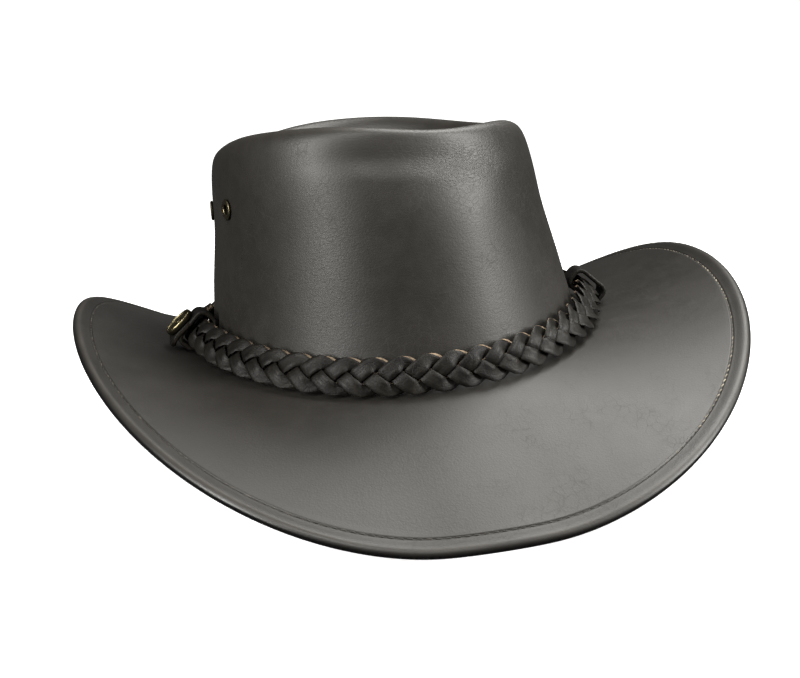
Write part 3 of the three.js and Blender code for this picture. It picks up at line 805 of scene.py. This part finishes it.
def add_brim():
    """The whole section round the hat, a little uneven, except at the crown and at the edge."""
    u = TURN * np.arange(BRIM_COLUMNS) / BRIM_COLUMNS
    inner = foot_points(u, WALL)
    top, under = flat_rows(u, TOP_ROWS, top_height), flat_rows(u, UNDER_ROWS, under_height)[::-1]
    drop = np.array([0, 0, BRIM_THICKNESS])
    grid = np.concatenate([inner[None], top, roll_rows(u), under, (inner - drop)[None]])
    spread = np.linalg.norm(grid - foot_points(u), axis=-1) / brim_width(u)
    settle = np.clip(1.4 * spread - 0.4, 0, 1) * np.clip(8 * (1.02 - spread), 0, 1)
    grid[..., 2] += BRIM_UNEVEN * settle * ripple(grid, 2 * UNEVEN_LENGTH, RIPPLE_WAVES, 8)
    grid[..., 2] = np.maximum(grid[..., 2], 0)
    quads = grid_faces(len(grid), BRIM_COLUMNS, wrap_rows=True)
    mesh = new_mesh("brim_leather", grid, quads, None, roll_masks(len(grid), len(top)))
    new_piece("brim_leather", mesh, [HAT_LEATHER], ["brim"])


add_brim()

# %% [markdown]
# Stitches
#
# One line of lock stitches holds the rolled edge. On the real hat each stitch is a short length of
# thread that bows out of one hole and dives into the next, so each is a small bent tube with its
# ends under the leather. All of them are one mesh from arrays, on top and underneath.

# %% Thread
STITCH_PITCH = 3.4 * MM
STITCH_LENGTH = 2.7 * MM
THREAD_RADIUS = 0.33 * MM
STITCH_SLANT = math.radians(7)
STITCH_RINGS = 6
STITCH_SIDES = 6
# the cream shows on clean thread and as painted light on the right-hand stitches
THREAD_DARK, THREAD_CLEAN_LIT = (0.008, 0.007, 0.006), (0.50, 0.43, 0.33)


def even_angles(path, pitch):
    """Angles at even distances round the hat, about one pitch apart, on a path given by angle."""
    u = np.linspace(0, TURN, 2001)
    steps = np.linalg.norm(np.diff(path(u), axis=0), axis=1)
    length = np.concatenate([[0], np.cumsum(steps)])
    count = round(length[-1] / pitch)
    return np.interp(np.arange(count) * length[-1] / count, length, u)


def stitch_line(u):
    return brim_middle(u, 1 - STITCH_INSIDE / brim_width(u))


def stitch_points(u, sign):
    """Each stitch runs along x from -1 to 1 times half its length. Its middle line stands out by
    1 - x^4, its radius shrinks to the ends, and it is turned a little across the seam."""
    random = np.random.default_rng(21)
    t = 1 - STITCH_INSIDE / brim_width(u)
    out, up = brim_directions(u, t)
    along = unit(np.cross(up, out))
    slant = STITCH_SLANT + random.normal(0, 0.05, len(u))
    length = STITCH_LENGTH / 2 * random.uniform(0.93, 1.05, len(u))
    run = along * np.cos(slant)[:, None] + out * np.sin(slant)[:, None]
    aside = np.cross(up, run)
    surface = BRIM_THICKNESS / 2 - GROOVE_DEPTH * (1.0 if sign > 0 else UNDER_GROOVE)
    x = np.linspace(-1, 1, STITCH_RINGS)[:, None]
    bow = THREAD_RADIUS * (1.1 * (1 - x**4) - 0.9)
    radius = THREAD_RADIUS * (1 - 0.35 * x**4)
    angle = TURN * np.arange(STITCH_SIDES) / STITCH_SIDES
    lift = (surface + bow + radius * np.cos(angle))[None, ..., None]
    beside = (radius * np.sin(angle))[None, ..., None]
    ahead = (x * np.ones(STITCH_SIDES))[None, ..., None] * length[:, None, None, None]
    run, aside, up = (direction[:, None, None] for direction in (run, aside, sign * up))
    return brim_middle(u, t)[:, None, None] + run * ahead + aside * beside + up * lift


def stitch_mesh(u, sign):
    """Points, quads and end triangles of all stitches on one side of the brim."""
    points = stitch_points(u, sign)
    ends = points[:, [0, -1]].mean(axis=2)
    ring = STITCH_RINGS * STITCH_SIDES
    points = np.concatenate([points.reshape(len(u), -1, 3), ends], axis=1)
    quads = grid_faces(STITCH_RINGS, STITCH_SIDES)
    caps = np.vstack([
        pole_faces(np.arange(STITCH_SIDES), ring, turned=True),
        pole_faces(np.arange(ring - STITCH_SIDES, ring), ring + 1),
    ])
    return points.reshape(-1, 3), copies_of(quads, ring + 2, len(u)), copies_of(caps, ring + 2, len(u))


def clean_and_lit_thread(u):
    """How much cream each stitch shows: painted light, most at the right side, some at the left and
    little in front, times a random share for how clean the thread is.
    """
    chance = np.random.default_rng(33).uniform(0.2, 1.0, len(u)) ** 1.5
    right, left = np.clip(3 * np.sin(u) - 1.2, 0, 1), np.clip(-1.6 * np.sin(u) - 0.5, 0, 1)
    return np.clip(right + 0.2 * left + 0.05, 0, 1) * chance


def add_stitches():
    u = even_angles(stitch_line, STITCH_PITCH)
    for name, sign in (("brim_stitches", 1), ("brim_stitches_below", -1)):
        clean_and_lit = np.repeat(clean_and_lit_thread(u), STITCH_RINGS * STITCH_SIDES + 2)
        mesh = new_mesh(name, *stitch_mesh(u, sign), {"clean_and_lit": clean_and_lit})
        new_piece(name, mesh, [THREAD])
    print(len(u), "stitches on each side")


def thread():
    """Waxed thread, nearly black, with cream where it is clean and as painted light on the stitches
    at the right side.
    """
    tree, shader, material = new_material("thread")
    # painted light on the right-hand stitches, times random clean patches
    clean_and_lit = math_node(tree, "MULTIPLY", attribute(tree, "clean_and_lit"), patches(tree, 420.0))
    tree.links.new(blend(tree, clean_and_lit, THREAD_DARK, THREAD_CLEAN_LIT), shader.inputs["Base Color"])
    tree.links.new(ramp(tree, clean_and_lit, 0, 1, 0.5, 0.7), shader.inputs["Roughness"])
    add_bump(tree, shader, noise(tree, object_place(tree), 3000.0, 2.0), 0.6, 0.08 * MM)
    return material


THREAD = thread()
add_stitches()

# %% [markdown]
# Plaited band
#
# Three straps swing from one edge of the band to the other, each a third of a turn behind the
# next, and each always lies over the one that leads it and under the one that follows. Where they
# cross they have to lie a full thickness apart, and between the crossings the stiff leather takes
# the smoothest way. That is solved here for one period on a flat grid: the height is averaged with
# its neighbours again and again, and wherever two straps overlap they are pushed apart. The flat
# plait is then laid along the band's own line round the hat.

# %% Sizes of the band
STRAP_WIDTH = 5.5 * MM
STRAP_THICKNESS = 1.5 * MM
STRAP_SWING = 5.0 * MM
STRAP_STRAIGHT = 0.05  # straightens the runs between the turns
PLAIT_PERIODS = 19
PLAIT_HALF_WIDTH = 8 * MM
PLAIT_HALF_THICKNESS = 2.6 * MM
BAND_FOOT_OUT, BAND_LEFT_OUT, BAND_RIGHT_OUT = 4.7 * MM, 9.6 * MM, 6.4 * MM
BAND_LEAN, BAND_SIDE_LEAN, BAND_SIDE_RISE = 13, 34, 0.7
KEEPER_LEFT, KEEPER_RIGHT, KEEPER_SPREAD = 279, 82, 11
KEEPER_PUSH, KEEPER_LIFT, KEEPER_SQUEEZE = 1.2 * MM, 1.9 * MM, 0.15
LOOSE_GAP = 3 * GAP


def keeper_share(u):
    """1 at the middle of each keeper, falling to 0 beside it."""
    return bell(u, KEEPER_LEFT, KEEPER_SPREAD) + bell(u, KEEPER_RIGHT, KEEPER_SPREAD)


def narrowed(u):
    """Share of its width that the band keeps: the keepers squeeze it."""
    return 1 - KEEPER_SQUEEZE * keeper_share(u)


def band_frame(u):
    """The band's middle line at an angle, its direction across (upwards) and the way it faces. It
    stands on the brim at some distance from the crown, and leans out with the side of the hat."""
    side = side_share(u) ** BAND_SIDE_RISE
    lean = np.radians(BAND_LEAN + BAND_SIDE_LEAN * side)
    out = unit(np.stack([np.sin(u) / HEAD_WIDTH, -np.cos(u) / HEAD_LENGTH, 0 * u], axis=-1))
    near = keeper_share(u)
    side_out = np.where(np.sin(u) < 0, BAND_LEFT_OUT, BAND_RIGHT_OUT)
    reach = BAND_FOOT_OUT + side_out * side + KEEPER_PUSH * near
    width = np.linalg.norm(brim_middle(u, np.ones_like(u)) - foot_points(u), axis=-1)
    lift = PLAIT_HALF_THICKNESS * np.sin(lean) + LOOSE_GAP + KEEPER_LIFT * near
    low = over_brim(u, reach / width, lift)
    up = np.array([0.0, 0.0, 1.0])
    sine, cosine = np.sin(lean)[..., None], np.cos(lean)[..., None]
    across = cosine * up - sine * out
    return low + across * (PLAIT_HALF_WIDTH * narrowed(u))[..., None], across, out * cosine + up * sine


BAND_STEPS = np.linspace(0, TURN, 1441)
band_line = band_frame(BAND_STEPS)[0]
BAND_LENGTHS = np.concatenate([[0], np.cumsum(np.linalg.norm(np.diff(band_line, axis=0), axis=1))])
BAND_LENGTH = BAND_LENGTHS[-1]
PERIOD = BAND_LENGTH / PLAIT_PERIODS
PACE = TURN / PERIOD
print("band is", round(BAND_LENGTH, 4), "m long, one period of the plait", round(PERIOD, 4), "m")


# %% The way of a strap
def strap_way(phase):
    """A strap's place across the band, and its first and second change with the phase: a sine with
    a little of its third harmonic taken off, so that the runs are straighter and the turns tighter."""
    place = np.sin(phase) - STRAP_STRAIGHT * np.sin(3 * phase)
    change = np.cos(phase) - 3 * STRAP_STRAIGHT * np.cos(3 * phase)
    bend = -np.sin(phase) + 9 * STRAP_STRAIGHT * np.sin(3 * phase)
    return STRAP_SWING * place, STRAP_SWING * change, STRAP_SWING * bend


# %% Relaxing the plait
NEWTON_STEPS = 60
RELAX_STEPS = 1200
FLAT_LENGTH_CELLS = 162
FLAT_WIDTH_CELLS = 81
FLAT_HALF = 10 * MM


def strap_heights():
    """Height of one strap over the flat period, 0 where it doesn't lie. Each cell first finds its
    nearest point on the strap's line with damped Newton steps."""
    s = PERIOD * np.arange(FLAT_LENGTH_CELLS)[:, None] / FLAT_LENGTH_CELLS
    x = np.linspace(-FLAT_HALF, FLAT_HALF, FLAT_WIDTH_CELLS)[None]
    phase = s * PACE + 0 * x
    for _ in range(NEWTON_STEPS):
        place, change, bend = strap_way(phase)
        error = (s - phase / PACE) / PACE + (x - place) * change
        slope = -1 / PACE**2 - change**2 + (x - place) * bend
        phase = phase - 0.5 * error / np.minimum(slope, -0.3 / PACE**2)
    place, change, _ = strap_way(phase)
    steep = np.arctan(PACE * change)
    aside = (x - place) * np.cos(steep) - (s - phase / PACE) * np.sin(steep)
    covered = np.abs(aside) <= STRAP_WIDTH / 2
    third = FLAT_LENGTH_CELLS // 3
    over, under = covered & np.roll(covered, -third, 0), covered & np.roll(covered, third, 0)
    steps = ((1, 0), (-1, 0), (0, 1), (0, -1))
    weight = sum(np.roll(covered, step, (0, 1)) for step in steps)
    height = np.zeros_like(phase)
    for _ in range(RELAX_STEPS):
        near = sum(np.roll(height, step, (0, 1)) for step in steps) / np.maximum(weight, 1)
        height = (height + near) / 2
        rise = np.maximum(0, STRAP_THICKNESS - (height - np.roll(height, -third, 0))) * over
        fall = np.maximum(0, STRAP_THICKNESS - (np.roll(height, third, 0) - height)) * under
        height = (height + (rise - fall) / 2) * covered
    return height


STRAP_HEIGHTS = strap_heights()
print("straps weave", round(float(np.ptp(STRAP_HEIGHTS)) / MM, 2), "mm in and out")


def height_at(s, x):
    """The relaxed height at places on the flat period, between the grid's points."""
    row = (s % PERIOD) / PERIOD * FLAT_LENGTH_CELLS
    column = np.clip((x + FLAT_HALF) / (2 * FLAT_HALF), 0, 0.999) * (FLAT_WIDTH_CELLS - 1)
    i, j = np.floor(row).astype(int) % FLAT_LENGTH_CELLS, np.floor(column).astype(int)
    a, b = row - np.floor(row), column - j
    ahead = (i + 1) % FLAT_LENGTH_CELLS
    near = mix(STRAP_HEIGHTS[i, j], STRAP_HEIGHTS[i, j + 1], b)
    return mix(near, mix(STRAP_HEIGHTS[ahead, j], STRAP_HEIGHTS[ahead, j + 1], b), a)


# %% Straps
STRAP_STEPS = 640
STRAP_WAVES = (9, 17, 29, 43)  # how often each slow wave goes up and down round the hat
WIDTH_WAVE, SWING_WAVE, HEIGHT_WAVE = 0.035, 0.03, 0.06 * MM
STRAP_CAMBER = 0.05
STRAP_RELIEF = 1.6  # thick leather springs back, so the straps lie looser than relaxed
STRAP_EDGE = np.array([(0.985, 0.84), (1.0, 0.62), (1.0, -0.6), (0.98, -0.9)])
STRAP_TOP = np.array([-0.93, -0.72, -0.48, -0.24, 0, 0.24, 0.48, 0.72, 0.93])
STRAP_BOTTOM = np.array([0.9, 0.5, 0, -0.5, -0.9])


def strap_section():
    """Points round a strap's section as shares of its half width and half thickness, with a mask
    that is 1 on the raw cut edges."""
    top = np.stack([STRAP_TOP, 1 - STRAP_CAMBER * STRAP_TOP**2], axis=1)
    bottom = np.stack([STRAP_BOTTOM, -np.ones(len(STRAP_BOTTOM))], axis=1)
    left = STRAP_EDGE[::-1] * [-1, 1]
    section = np.vstack([top, STRAP_EDGE, bottom, left])
    cut = np.array([0.5, 1.0, 1.0, 0.5])
    raw = np.concatenate([0 * STRAP_TOP, cut, 0 * STRAP_BOTTOM, cut[::-1]])
    return section, raw


def strap_points(strand):
    """One strap of the plait, with its masks. A point of the section lies beside the strap's line by
    its share of the width, at the relaxed height, and the section turns with the slope there. Slow
    waves make the width, the swing and the height a little uneven. Cut edges keep their tan where
    they face up, as painted light, and turn dark where they face down, as painted shade."""
    random = np.random.default_rng(40 + strand)
    start = np.interp(math.radians(KEEPER_LEFT), BAND_STEPS, BAND_LENGTHS) / BAND_LENGTH
    share = start + np.arange(STRAP_STEPS)[:, None] / STRAP_STEPS
    phase = TURN * (PLAIT_PERIODS * share + strand / 3)
    section, raw = strap_section()
    waves = [np.cos(TURN * (n * share + random.uniform())) / math.sqrt(n) for n in STRAP_WAVES]
    wave = sum(waves) / 2
    place, change, _ = strap_way(phase)
    steep = np.arctan(PACE * change)
    beside = STRAP_WIDTH / 2 * (1 + WIDTH_WAVE * wave) * section[:, 0]
    x = (1 + SWING_WAVE * np.roll(wave, 90)) * place + beside * np.cos(steep)
    inside = np.clip(beside, -0.46 * STRAP_WIDTH, 0.46 * STRAP_WIDTH)
    nudge = 0.05 * STRAP_WIDTH

    def height(offset):
        along, across = offset * np.sin(steep), offset * np.cos(steep)
        return STRAP_RELIEF * height_at(phase / PACE - along, place + across)

    tilt = np.arctan((height(inside + nudge) - height(inside - nudge)) / (2 * nudge))
    up = height(inside) + np.tan(tilt) * (beside - inside) * 0.5 + HEIGHT_WAVE * np.roll(wave, 200)
    thick = STRAP_THICKNESS / 2 * section[:, 1]
    run = share * BAND_LENGTH - beside * np.sin(steep) + np.sin(tilt) * thick * np.sin(steep)
    u = np.interp(run % BAND_LENGTH, BAND_LENGTHS, BAND_STEPS)
    middle, across, face = band_frame(u)
    aside = ((x - np.sin(tilt) * thick * np.cos(steep)) * narrowed(u))[..., None]
    points = middle + across * aside + face * (up + np.cos(tilt) * thick)[..., None]
    normals = grid_normals(points)
    outward = np.sign(np.sum(normals * face, axis=-1) * thick).mean()
    lit = np.clip(0.1 + 1.4 * outward * normals[..., 2], 0, 1)
    return points, raw * lit * edge_tan_by_side(u), share * BAND_LENGTH, beside


def edge_tan_by_side(u):
    """More of the cut edges' tan shows at the right side of the hat, and less towards the left."""
    return np.clip(0.75 + 0.5 * np.sin(u), 0.5, 1)


def add_straps():
    """Three straps. The grain runs along each by its own length, and the first stands for the band."""
    for strand in range(3):
        points, raw, along, beside = strap_points(strand)
        shape = points.shape[:2]
        along = np.broadcast_to(along, shape) + strand
        masks = {"cut_edge_and_light": raw.ravel(), "strap_along": along.ravel(), "strap_beside": beside.ravel()}
        name = f"plait_strap_{strand + 1}"
        mesh = new_mesh(name, points, grid_faces(*shape, wrap_rows=True), None, masks)
        new_piece(name, mesh, [STRAP_LEATHER], ["braided_band"] if strand == 0 else [])


# %% Leather of the straps
STRAP_DARK = (0.0030, 0.0026, 0.0021)
STRAP_LIGHT = (0.0088, 0.0074, 0.0058)
STRAP_SCUFF = (0.026, 0.022, 0.017)
CUT_ROUGHNESS = 0.9
RAW_EDGE, DIRTY_EDGE = (0.36, 0.265, 0.18), (0.07, 0.045, 0.028)


def strap_leather(name, follows_strap):
    """Strap leather: streaks along the strap, scuffs, and tan cut edges with dirt in them. On the
    straps the cut-edge mask also holds painted light and shade.
    """
    tree, shader, material = new_material(name)
    where = run = object_place(tree)
    if follows_strap:
        along = math_node(tree, "MULTIPLY", attribute(tree, "strap_along"), 0.22)
        feeds = {"X": along, "Y": attribute(tree, "strap_beside")}
        run = put(tree, "ShaderNodeCombineXYZ", feeds).outputs[0]
    streaks = noise(tree, run, 900.0, 4.0, 0.6)
    scuffs = ramp(tree, noise(tree, where, 220.0, 6.0, 0.7), 0.52, 0.7)
    mottle = with_group(tree, MOTTLE, {"Scale": 40.0})["Mottle"]
    fine = {"Pore Scale": 1500.0, "Pores": 0.45, "Creases": 0.6, "Crease Scale": 240.0}
    grain = with_group(tree, GRAIN, fine)
    colour = blend(tree, mottle, STRAP_DARK, STRAP_LIGHT)
    colour = blend(tree, math_node(tree, "MULTIPLY", scuffs, 0.45), colour, STRAP_SCUFF)
    frayed = ramp(tree, noise(tree, where, 500.0, 4.0), 0.25, 0.6, 0.25, 1.0)
    # on the straps this mask holds painted light on up-facing cut edges and painted shade on down-facing
    # ones
    cut = ramp(tree, attribute(tree, "cut_edge_and_light"), 0.15, 0.9)
    edge = blend(tree, frayed, DIRTY_EDGE, RAW_EDGE)
    tree.links.new(blend(tree, cut, colour, edge), shader.inputs["Base Color"])
    rough = ramp(tree, streaks, 0.3, 0.7, 0.4, 0.62)
    shader.inputs["Specular IOR Level"].default_value = 0.22
    to_cut = math_node(tree, "SUBTRACT", CUT_ROUGHNESS, rough)
    tree.links.new(math_node(tree, "MULTIPLY_ADD", to_cut, cut, rough), shader.inputs["Roughness"])
    height = math_node(tree, "MULTIPLY_ADD", streaks, 0.7, grain["Height"])
    add_bump(tree, shader, height, 0.6, 0.15 * MM)
    return material


STRAP_LEATHER = strap_leather("strap_leather", True)
KEEPER_LEATHER = strap_leather("keeper_leather", False)
add_straps()

# %% [markdown]
# Keepers
#
# Two loops of the same leather hold the plait, one at each side. The left one has a tongue of
# leather outside with a brass concho on it, and the tongue's tip bends down towards the brim.

# %% Loops
KEEPER_WIDTH = 14 * MM
KEEPER_THICKNESS = 2 * MM
KEEPER_ACROSS = PLAIT_HALF_WIDTH * (1 - KEEPER_SQUEEZE) + LOOSE_GAP
KEEPER_OUT = 3.7 * MM
LOOP_CORNER, LOOP_STEPS = 3.4 * MM, 144
EDGE_CORNER, SECTION_STEPS = 0.55 * MM, 44
KEEPER_RAW = 0.2  # the keepers' cut edges are dyed, with little tan left
LOOP_UNEVEN, LOOP_WAVE = 0.15 * MM, 12 * MM


def rounded_rectangle(half_width, half_height, radius, count):
    """Points and outward directions at even steps round a rectangle with round corners."""
    turn = TURN * (np.arange(4 * 32) + 0.5) / (4 * 32)
    out = np.stack([np.cos(turn), np.sin(turn)], axis=-1)
    line = np.sign(out) * [half_width - radius, half_height - radius] + radius * out
    closed = np.vstack([line, line[:1]])
    length = np.concatenate([[0], np.cumsum(np.linalg.norm(np.diff(closed, axis=0), axis=1))])
    wanted = np.arange(count) * length[-1] / count
    points = np.stack([np.interp(wanted, length, closed[:, n]) for n in (0, 1)], axis=-1)
    ahead = np.roll(points, -1, axis=0) - np.roll(points, 1, axis=0)
    return points, unit(np.stack([ahead[:, 1], -ahead[:, 0]], axis=-1))


def keeper_axes(degrees):
    """Middle of the band at a keeper, and the directions along the band, across it and outwards."""
    middle, across, face = band_frame(np.radians(np.array([degrees], float)))
    return middle[0], np.cross(across[0], face[0]), across[0], face[0]


def add_loop(name, degrees, node):
    """A rounded section carried along a rounded rectangle round the band."""
    middle, along, across, face = keeper_axes(degrees)
    half = KEEPER_THICKNESS / 2
    path, outward = rounded_rectangle(KEEPER_OUT + half, KEEPER_ACROSS + half, LOOP_CORNER, LOOP_STEPS)
    section, _ = rounded_rectangle(KEEPER_WIDTH / 2, half, EDGE_CORNER, SECTION_STEPS)
    raw = KEEPER_RAW * (np.abs(section[:, 0]) > KEEPER_WIDTH / 2 - 0.25 * MM)
    level = path[:, None] + outward[:, None] * section[None, :, 1:]
    aside = np.broadcast_to(section[:, 0], level.shape[:2])
    points = middle + level[..., :1] * face + level[..., 1:] * across + aside[..., None] * along
    points = points + LOOP_UNEVEN * ripple(points, LOOP_WAVE, 16, degrees)[..., None] * face
    masks = {"cut_edge_and_light": np.broadcast_to(raw, level.shape[:2]).ravel()}
    mesh = new_mesh(name, points, grid_faces(*points.shape[:2], wrap_rows=True), None, masks)
    new_piece(name, mesh, [KEEPER_LEATHER], [node])


add_loop("keeper_loop_left", KEEPER_LEFT, "band_keeper_left")
add_loop("keeper_loop_right", KEEPER_RIGHT, "band_keeper_right")


# %% Discs and the tongue
def disc_mesh(name, outline, profile, place, mask, relief=None):
    """A closed disc: rings that shrink and rise as the profile says, and a pole above and below.
    outline is a closed line of (x, y); profile holds (share of the outline, height) from the upper
    pole round the edge to the lower one; place carries (x, y, height) to the hat; mask is a name
    with a number for each row of the profile; relief adds height from (share, angle, height)."""
    shares, heights = profile[:, 0], profile[:, 1]
    flat = shares[:, None, None] * outline[None]
    angle = np.arctan2(outline[:, 1], outline[:, 0])
    lift = np.broadcast_to(heights[:, None], flat.shape[:2])
    if relief is not None:
        lift = lift + relief(shares[:, None], angle, heights[:, None])
    points = place(flat[..., 0], flat[..., 1], lift)
    rings, poles = points[1:-1].reshape(-1, 3), points[[0, -1]].mean(axis=1)
    count = len(outline)
    quads = grid_faces(len(shares) - 2, count)
    first, last = np.arange(count), np.arange(count) + len(rings) - count
    caps = np.vstack([pole_faces(first, len(rings), turned=True), pole_faces(last, len(rings) + 1)])
    masks = {mask[0]: np.append(np.repeat(mask[1][1:-1], count), [0, 0])}
    return new_mesh(name, np.vstack([rings, poles]), quads, caps, masks)


FLAP_LENGTH, FLAP_HALF_WIDTH, FLAP_TOP = 9.9 * MM, 7.5 * MM, 4.4 * MM
FLAP_TILT, FLAP_BEND, FLAP_BEND_START = math.radians(5), math.radians(52), 3.5 * MM
FLAP_SEAT, FLAP_DROP = KEEPER_OUT + 0.4 * KEEPER_THICKNESS, 2.8 * MM
FLAP_PROFILE = np.array([
    (0, 1.03), (0.3, 1.03), (0.6, 1.02), (0.82, 1.01), (0.93, 1), (0.97, 0.97), (0.992, 0.85), (1, 0.6),
    (1, 0.35), (0.985, 0.08), (0.95, 0), (0.7, 0), (0.35, 0), (0, 0),
])
FLAP_CUT = slice(7, 10)  # rows of the profile on the cut edge


def flap_axes():
    """Place of the tongue: on the loop's outer side, its tip tilted away from the band."""
    middle, along, across, face = keeper_axes(KEEPER_LEFT)
    tilted = across * math.cos(FLAP_TILT) - face * math.sin(FLAP_TILT)
    out = face * math.cos(FLAP_TILT) + across * math.sin(FLAP_TILT)
    return middle + face * FLAP_SEAT - across * FLAP_DROP, along, tilted, out


def on_flap(x, y, height):
    """Points over the tongue's back: straight under the concho, then bent down along an arc."""
    origin, x_axis, y_axis, z_axis = flap_axes()
    radius = (FLAP_LENGTH - FLAP_BEND_START) / FLAP_BEND
    angle = np.maximum(-y - FLAP_BEND_START, 0) / radius
    down = np.minimum(-y, FLAP_BEND_START) + radius * np.sin(angle) + height * np.sin(angle)
    level = height * np.cos(angle) - radius * (1 - np.cos(angle))
    return origin + x[..., None] * x_axis - down[..., None] * y_axis + level[..., None] * z_axis


def flap_outline(count=120):
    """A tongue: a superellipse, squarer above than below, between its upper end and its tip."""
    turn = TURN * np.arange(count) / count
    power = 2 / np.where(np.sin(turn) > 0, 4.5, 2.9)
    x = FLAP_HALF_WIDTH * np.sign(np.cos(turn)) * np.abs(np.cos(turn)) ** power
    y = (FLAP_TOP + FLAP_LENGTH) / 2 * np.sign(np.sin(turn)) * np.abs(np.sin(turn)) ** power
    return np.stack([x, y + (FLAP_TOP - FLAP_LENGTH) / 2], axis=-1)


def add_flap():
    profile = FLAP_PROFILE * [1, KEEPER_THICKNESS]
    raw = np.zeros(len(profile))
    raw[FLAP_CUT] = 0.25
    mesh = disc_mesh("keeper_tongue", flap_outline(), profile, on_flap, ("cut_edge_and_light", raw))
    new_piece("keeper_tongue", mesh, [KEEPER_LEATHER])


add_flap()

# %% [markdown]
# Concho and eyelets
#
# The concho is a cast brass button with a raised rim round a plain petalled rosette, and four
# eyelets vent the crown. Both are turned or pressed parts, so both are profiles carried round an
# axis; the rosette is a height added by angle. The brass is dark in its hollows and bright where it
# is rubbed, which the mesh says with an attribute, as height in the relief.

# %% Brass
BRASS_DARK = (0.030, 0.026, 0.016)
BRASS_BRIGHT = (0.24, 0.20, 0.115)


def antique_brass():
    """Metal with a dark patina that is rubbed off the high places, and small pits and scratches."""
    tree, shader, material = new_material("antique_brass")
    patch = noise(tree, object_place(tree), 700.0, 5.0, 0.65)
    high = math_node(tree, "MULTIPLY_ADD", patch, 0.7, attribute(tree, "high"))
    bright = ramp(tree, high, 0.75, 1.35)
    tree.links.new(blend(tree, bright, BRASS_DARK, BRASS_BRIGHT), shader.inputs["Base Color"])
    shader.inputs["Metallic"].default_value = 1.0
    tree.links.new(ramp(tree, bright, 0, 1, 0.55, 0.26), shader.inputs["Roughness"])
    add_bump(tree, shader, patch, 0.35, 0.05 * MM)
    return material


BRASS = antique_brass()

# %% Concho
CONCHO_RADIUS = 7.4 * MM
CONCHO_HEIGHT = 2.6 * MM
PETALS, NOTCHES, CONCHO_STEPS = 8, 44, 264
CONCHO_PROFILE = np.array([
    (0, 0.92), (0.04, 0.92), (0.09, 0.90), (0.135, 0.84), (0.165, 0.70), (0.19, 0.60), (0.23, 0.60),
    (0.30, 0.66), (0.38, 0.71), (0.46, 0.735), (0.54, 0.735), (0.62, 0.70), (0.70, 0.63), (0.76, 0.52),
    (0.795, 0.44), (0.825, 0.44), (0.85, 0.56), (0.865, 0.80), (0.885, 0.93), (0.91, 0.99), (0.935, 0.99),
    (0.96, 0.92), (0.98, 0.80), (0.993, 0.62), (1.0, 0.42), (0.997, 0.2), (0.985, 0.06), (0.96, 0),
    (0.6, 0), (0, 0),
])


def rosette(share, angle, height):
    """Relief on the concho's face: petals between the boss and the rim, notches on the rim."""
    front = height > 0.3 * CONCHO_HEIGHT
    petals = (0.5 + 0.5 * np.cos(PETALS * angle)) ** 0.6 - 0.55
    field = np.clip((share - 0.2) / 0.12, 0, 1) * np.clip((0.78 - share) / 0.1, 0, 1)
    notches = np.cos(NOTCHES * angle) * np.exp(-(((share - 0.92) / 0.045) ** 2))
    return front * MM * (0.42 * field * petals + 0.09 * notches)


def add_concho():
    origin, x_axis, y_axis, z_axis = flap_axes()
    turn = TURN * np.arange(CONCHO_STEPS) / CONCHO_STEPS
    outline = CONCHO_RADIUS * np.stack([np.cos(turn), np.sin(turn)], axis=-1)
    profile = CONCHO_PROFILE * [1, CONCHO_HEIGHT]
    base = origin + z_axis * (KEEPER_THICKNESS + GAP)

    def place(x, y, height):
        return base + x[..., None] * x_axis + y[..., None] * y_axis + height[..., None] * z_axis

    high = np.clip((CONCHO_PROFILE[:, 1] - 0.45) / 0.5, 0, 1)
    mesh = disc_mesh("concho_rosette", outline, profile, place, ("high", high), rosette)
    new_piece("concho_rosette", mesh, [BRASS], ["concho"])


add_concho()

# %% Eyelets
EYELET_BORE = 2.2 * MM
EYELET_RADIUS = 4.7 * MM
EYELET_WALL = 0.7 * MM
EYELET_PROUD = 1.3 * MM  # how far the flange's crest stands off the wall
EYELET_CURL = 0.75 * MM
EYELET_STEPS = 72


def eyelet_profile():
    """Radius and height from the wall's outside: a bore, a flange curled over outside, a barrel
    through the wall and a flat flange inside."""
    curl = np.radians(np.linspace(200, -60, 16))
    round_half = (EYELET_RADIUS - EYELET_BORE) / 2
    outer = np.stack([
        EYELET_BORE + round_half * (1 + np.cos(curl)), EYELET_PROUD - EYELET_CURL * (1 - np.sin(curl)),
    ], axis=1)
    barrel, flange, inner = EYELET_BORE + EYELET_WALL, EYELET_RADIUS, -WALL - EYELET_PROUD
    rest = np.array([
        (barrel, 0.15 * MM), (barrel, -WALL - 0.15 * MM), (flange - 0.1 * MM, -WALL - 0.3 * MM),
        (flange, -WALL - 0.55 * MM), (flange - 0.4 * MM, inner + 0.3 * MM),
        (EYELET_BORE + 0.5 * MM, inner + 0.05 * MM), (EYELET_BORE + 0.1 * MM, inner + 0.2 * MM),
        (EYELET_BORE, inner + 0.6 * MM), (EYELET_BORE, -WALL / 2),
    ])
    return np.vstack([outer, rest])


def add_eyelet(name):
    """The profile carried round the vent's axis."""
    middle, normal = vent_place(name)
    aside = unit(np.cross(normal, [0.0, 0.0, 1.0]))
    other = np.cross(normal, aside)
    turn = TURN * np.arange(EYELET_STEPS) / EYELET_STEPS
    spoke = np.cos(turn)[:, None] * aside + np.sin(turn)[:, None] * other
    profile = eyelet_profile()
    points = middle + profile[:, None, :1] * spoke + profile[:, None, 1:] * normal
    high = np.clip((profile[:, 1] - 0.4 * MM) / (0.8 * MM), 0, 1)
    masks = {"high": np.repeat(high, EYELET_STEPS)}
    quads = grid_faces(len(profile), EYELET_STEPS, wrap_rows=True)
    mesh = new_mesh(f"{name}_brass", points, quads, None, masks)
    new_piece(f"{name}_brass", mesh, [BRASS], [name])


for vent in VENTS:
    add_eyelet(vent)
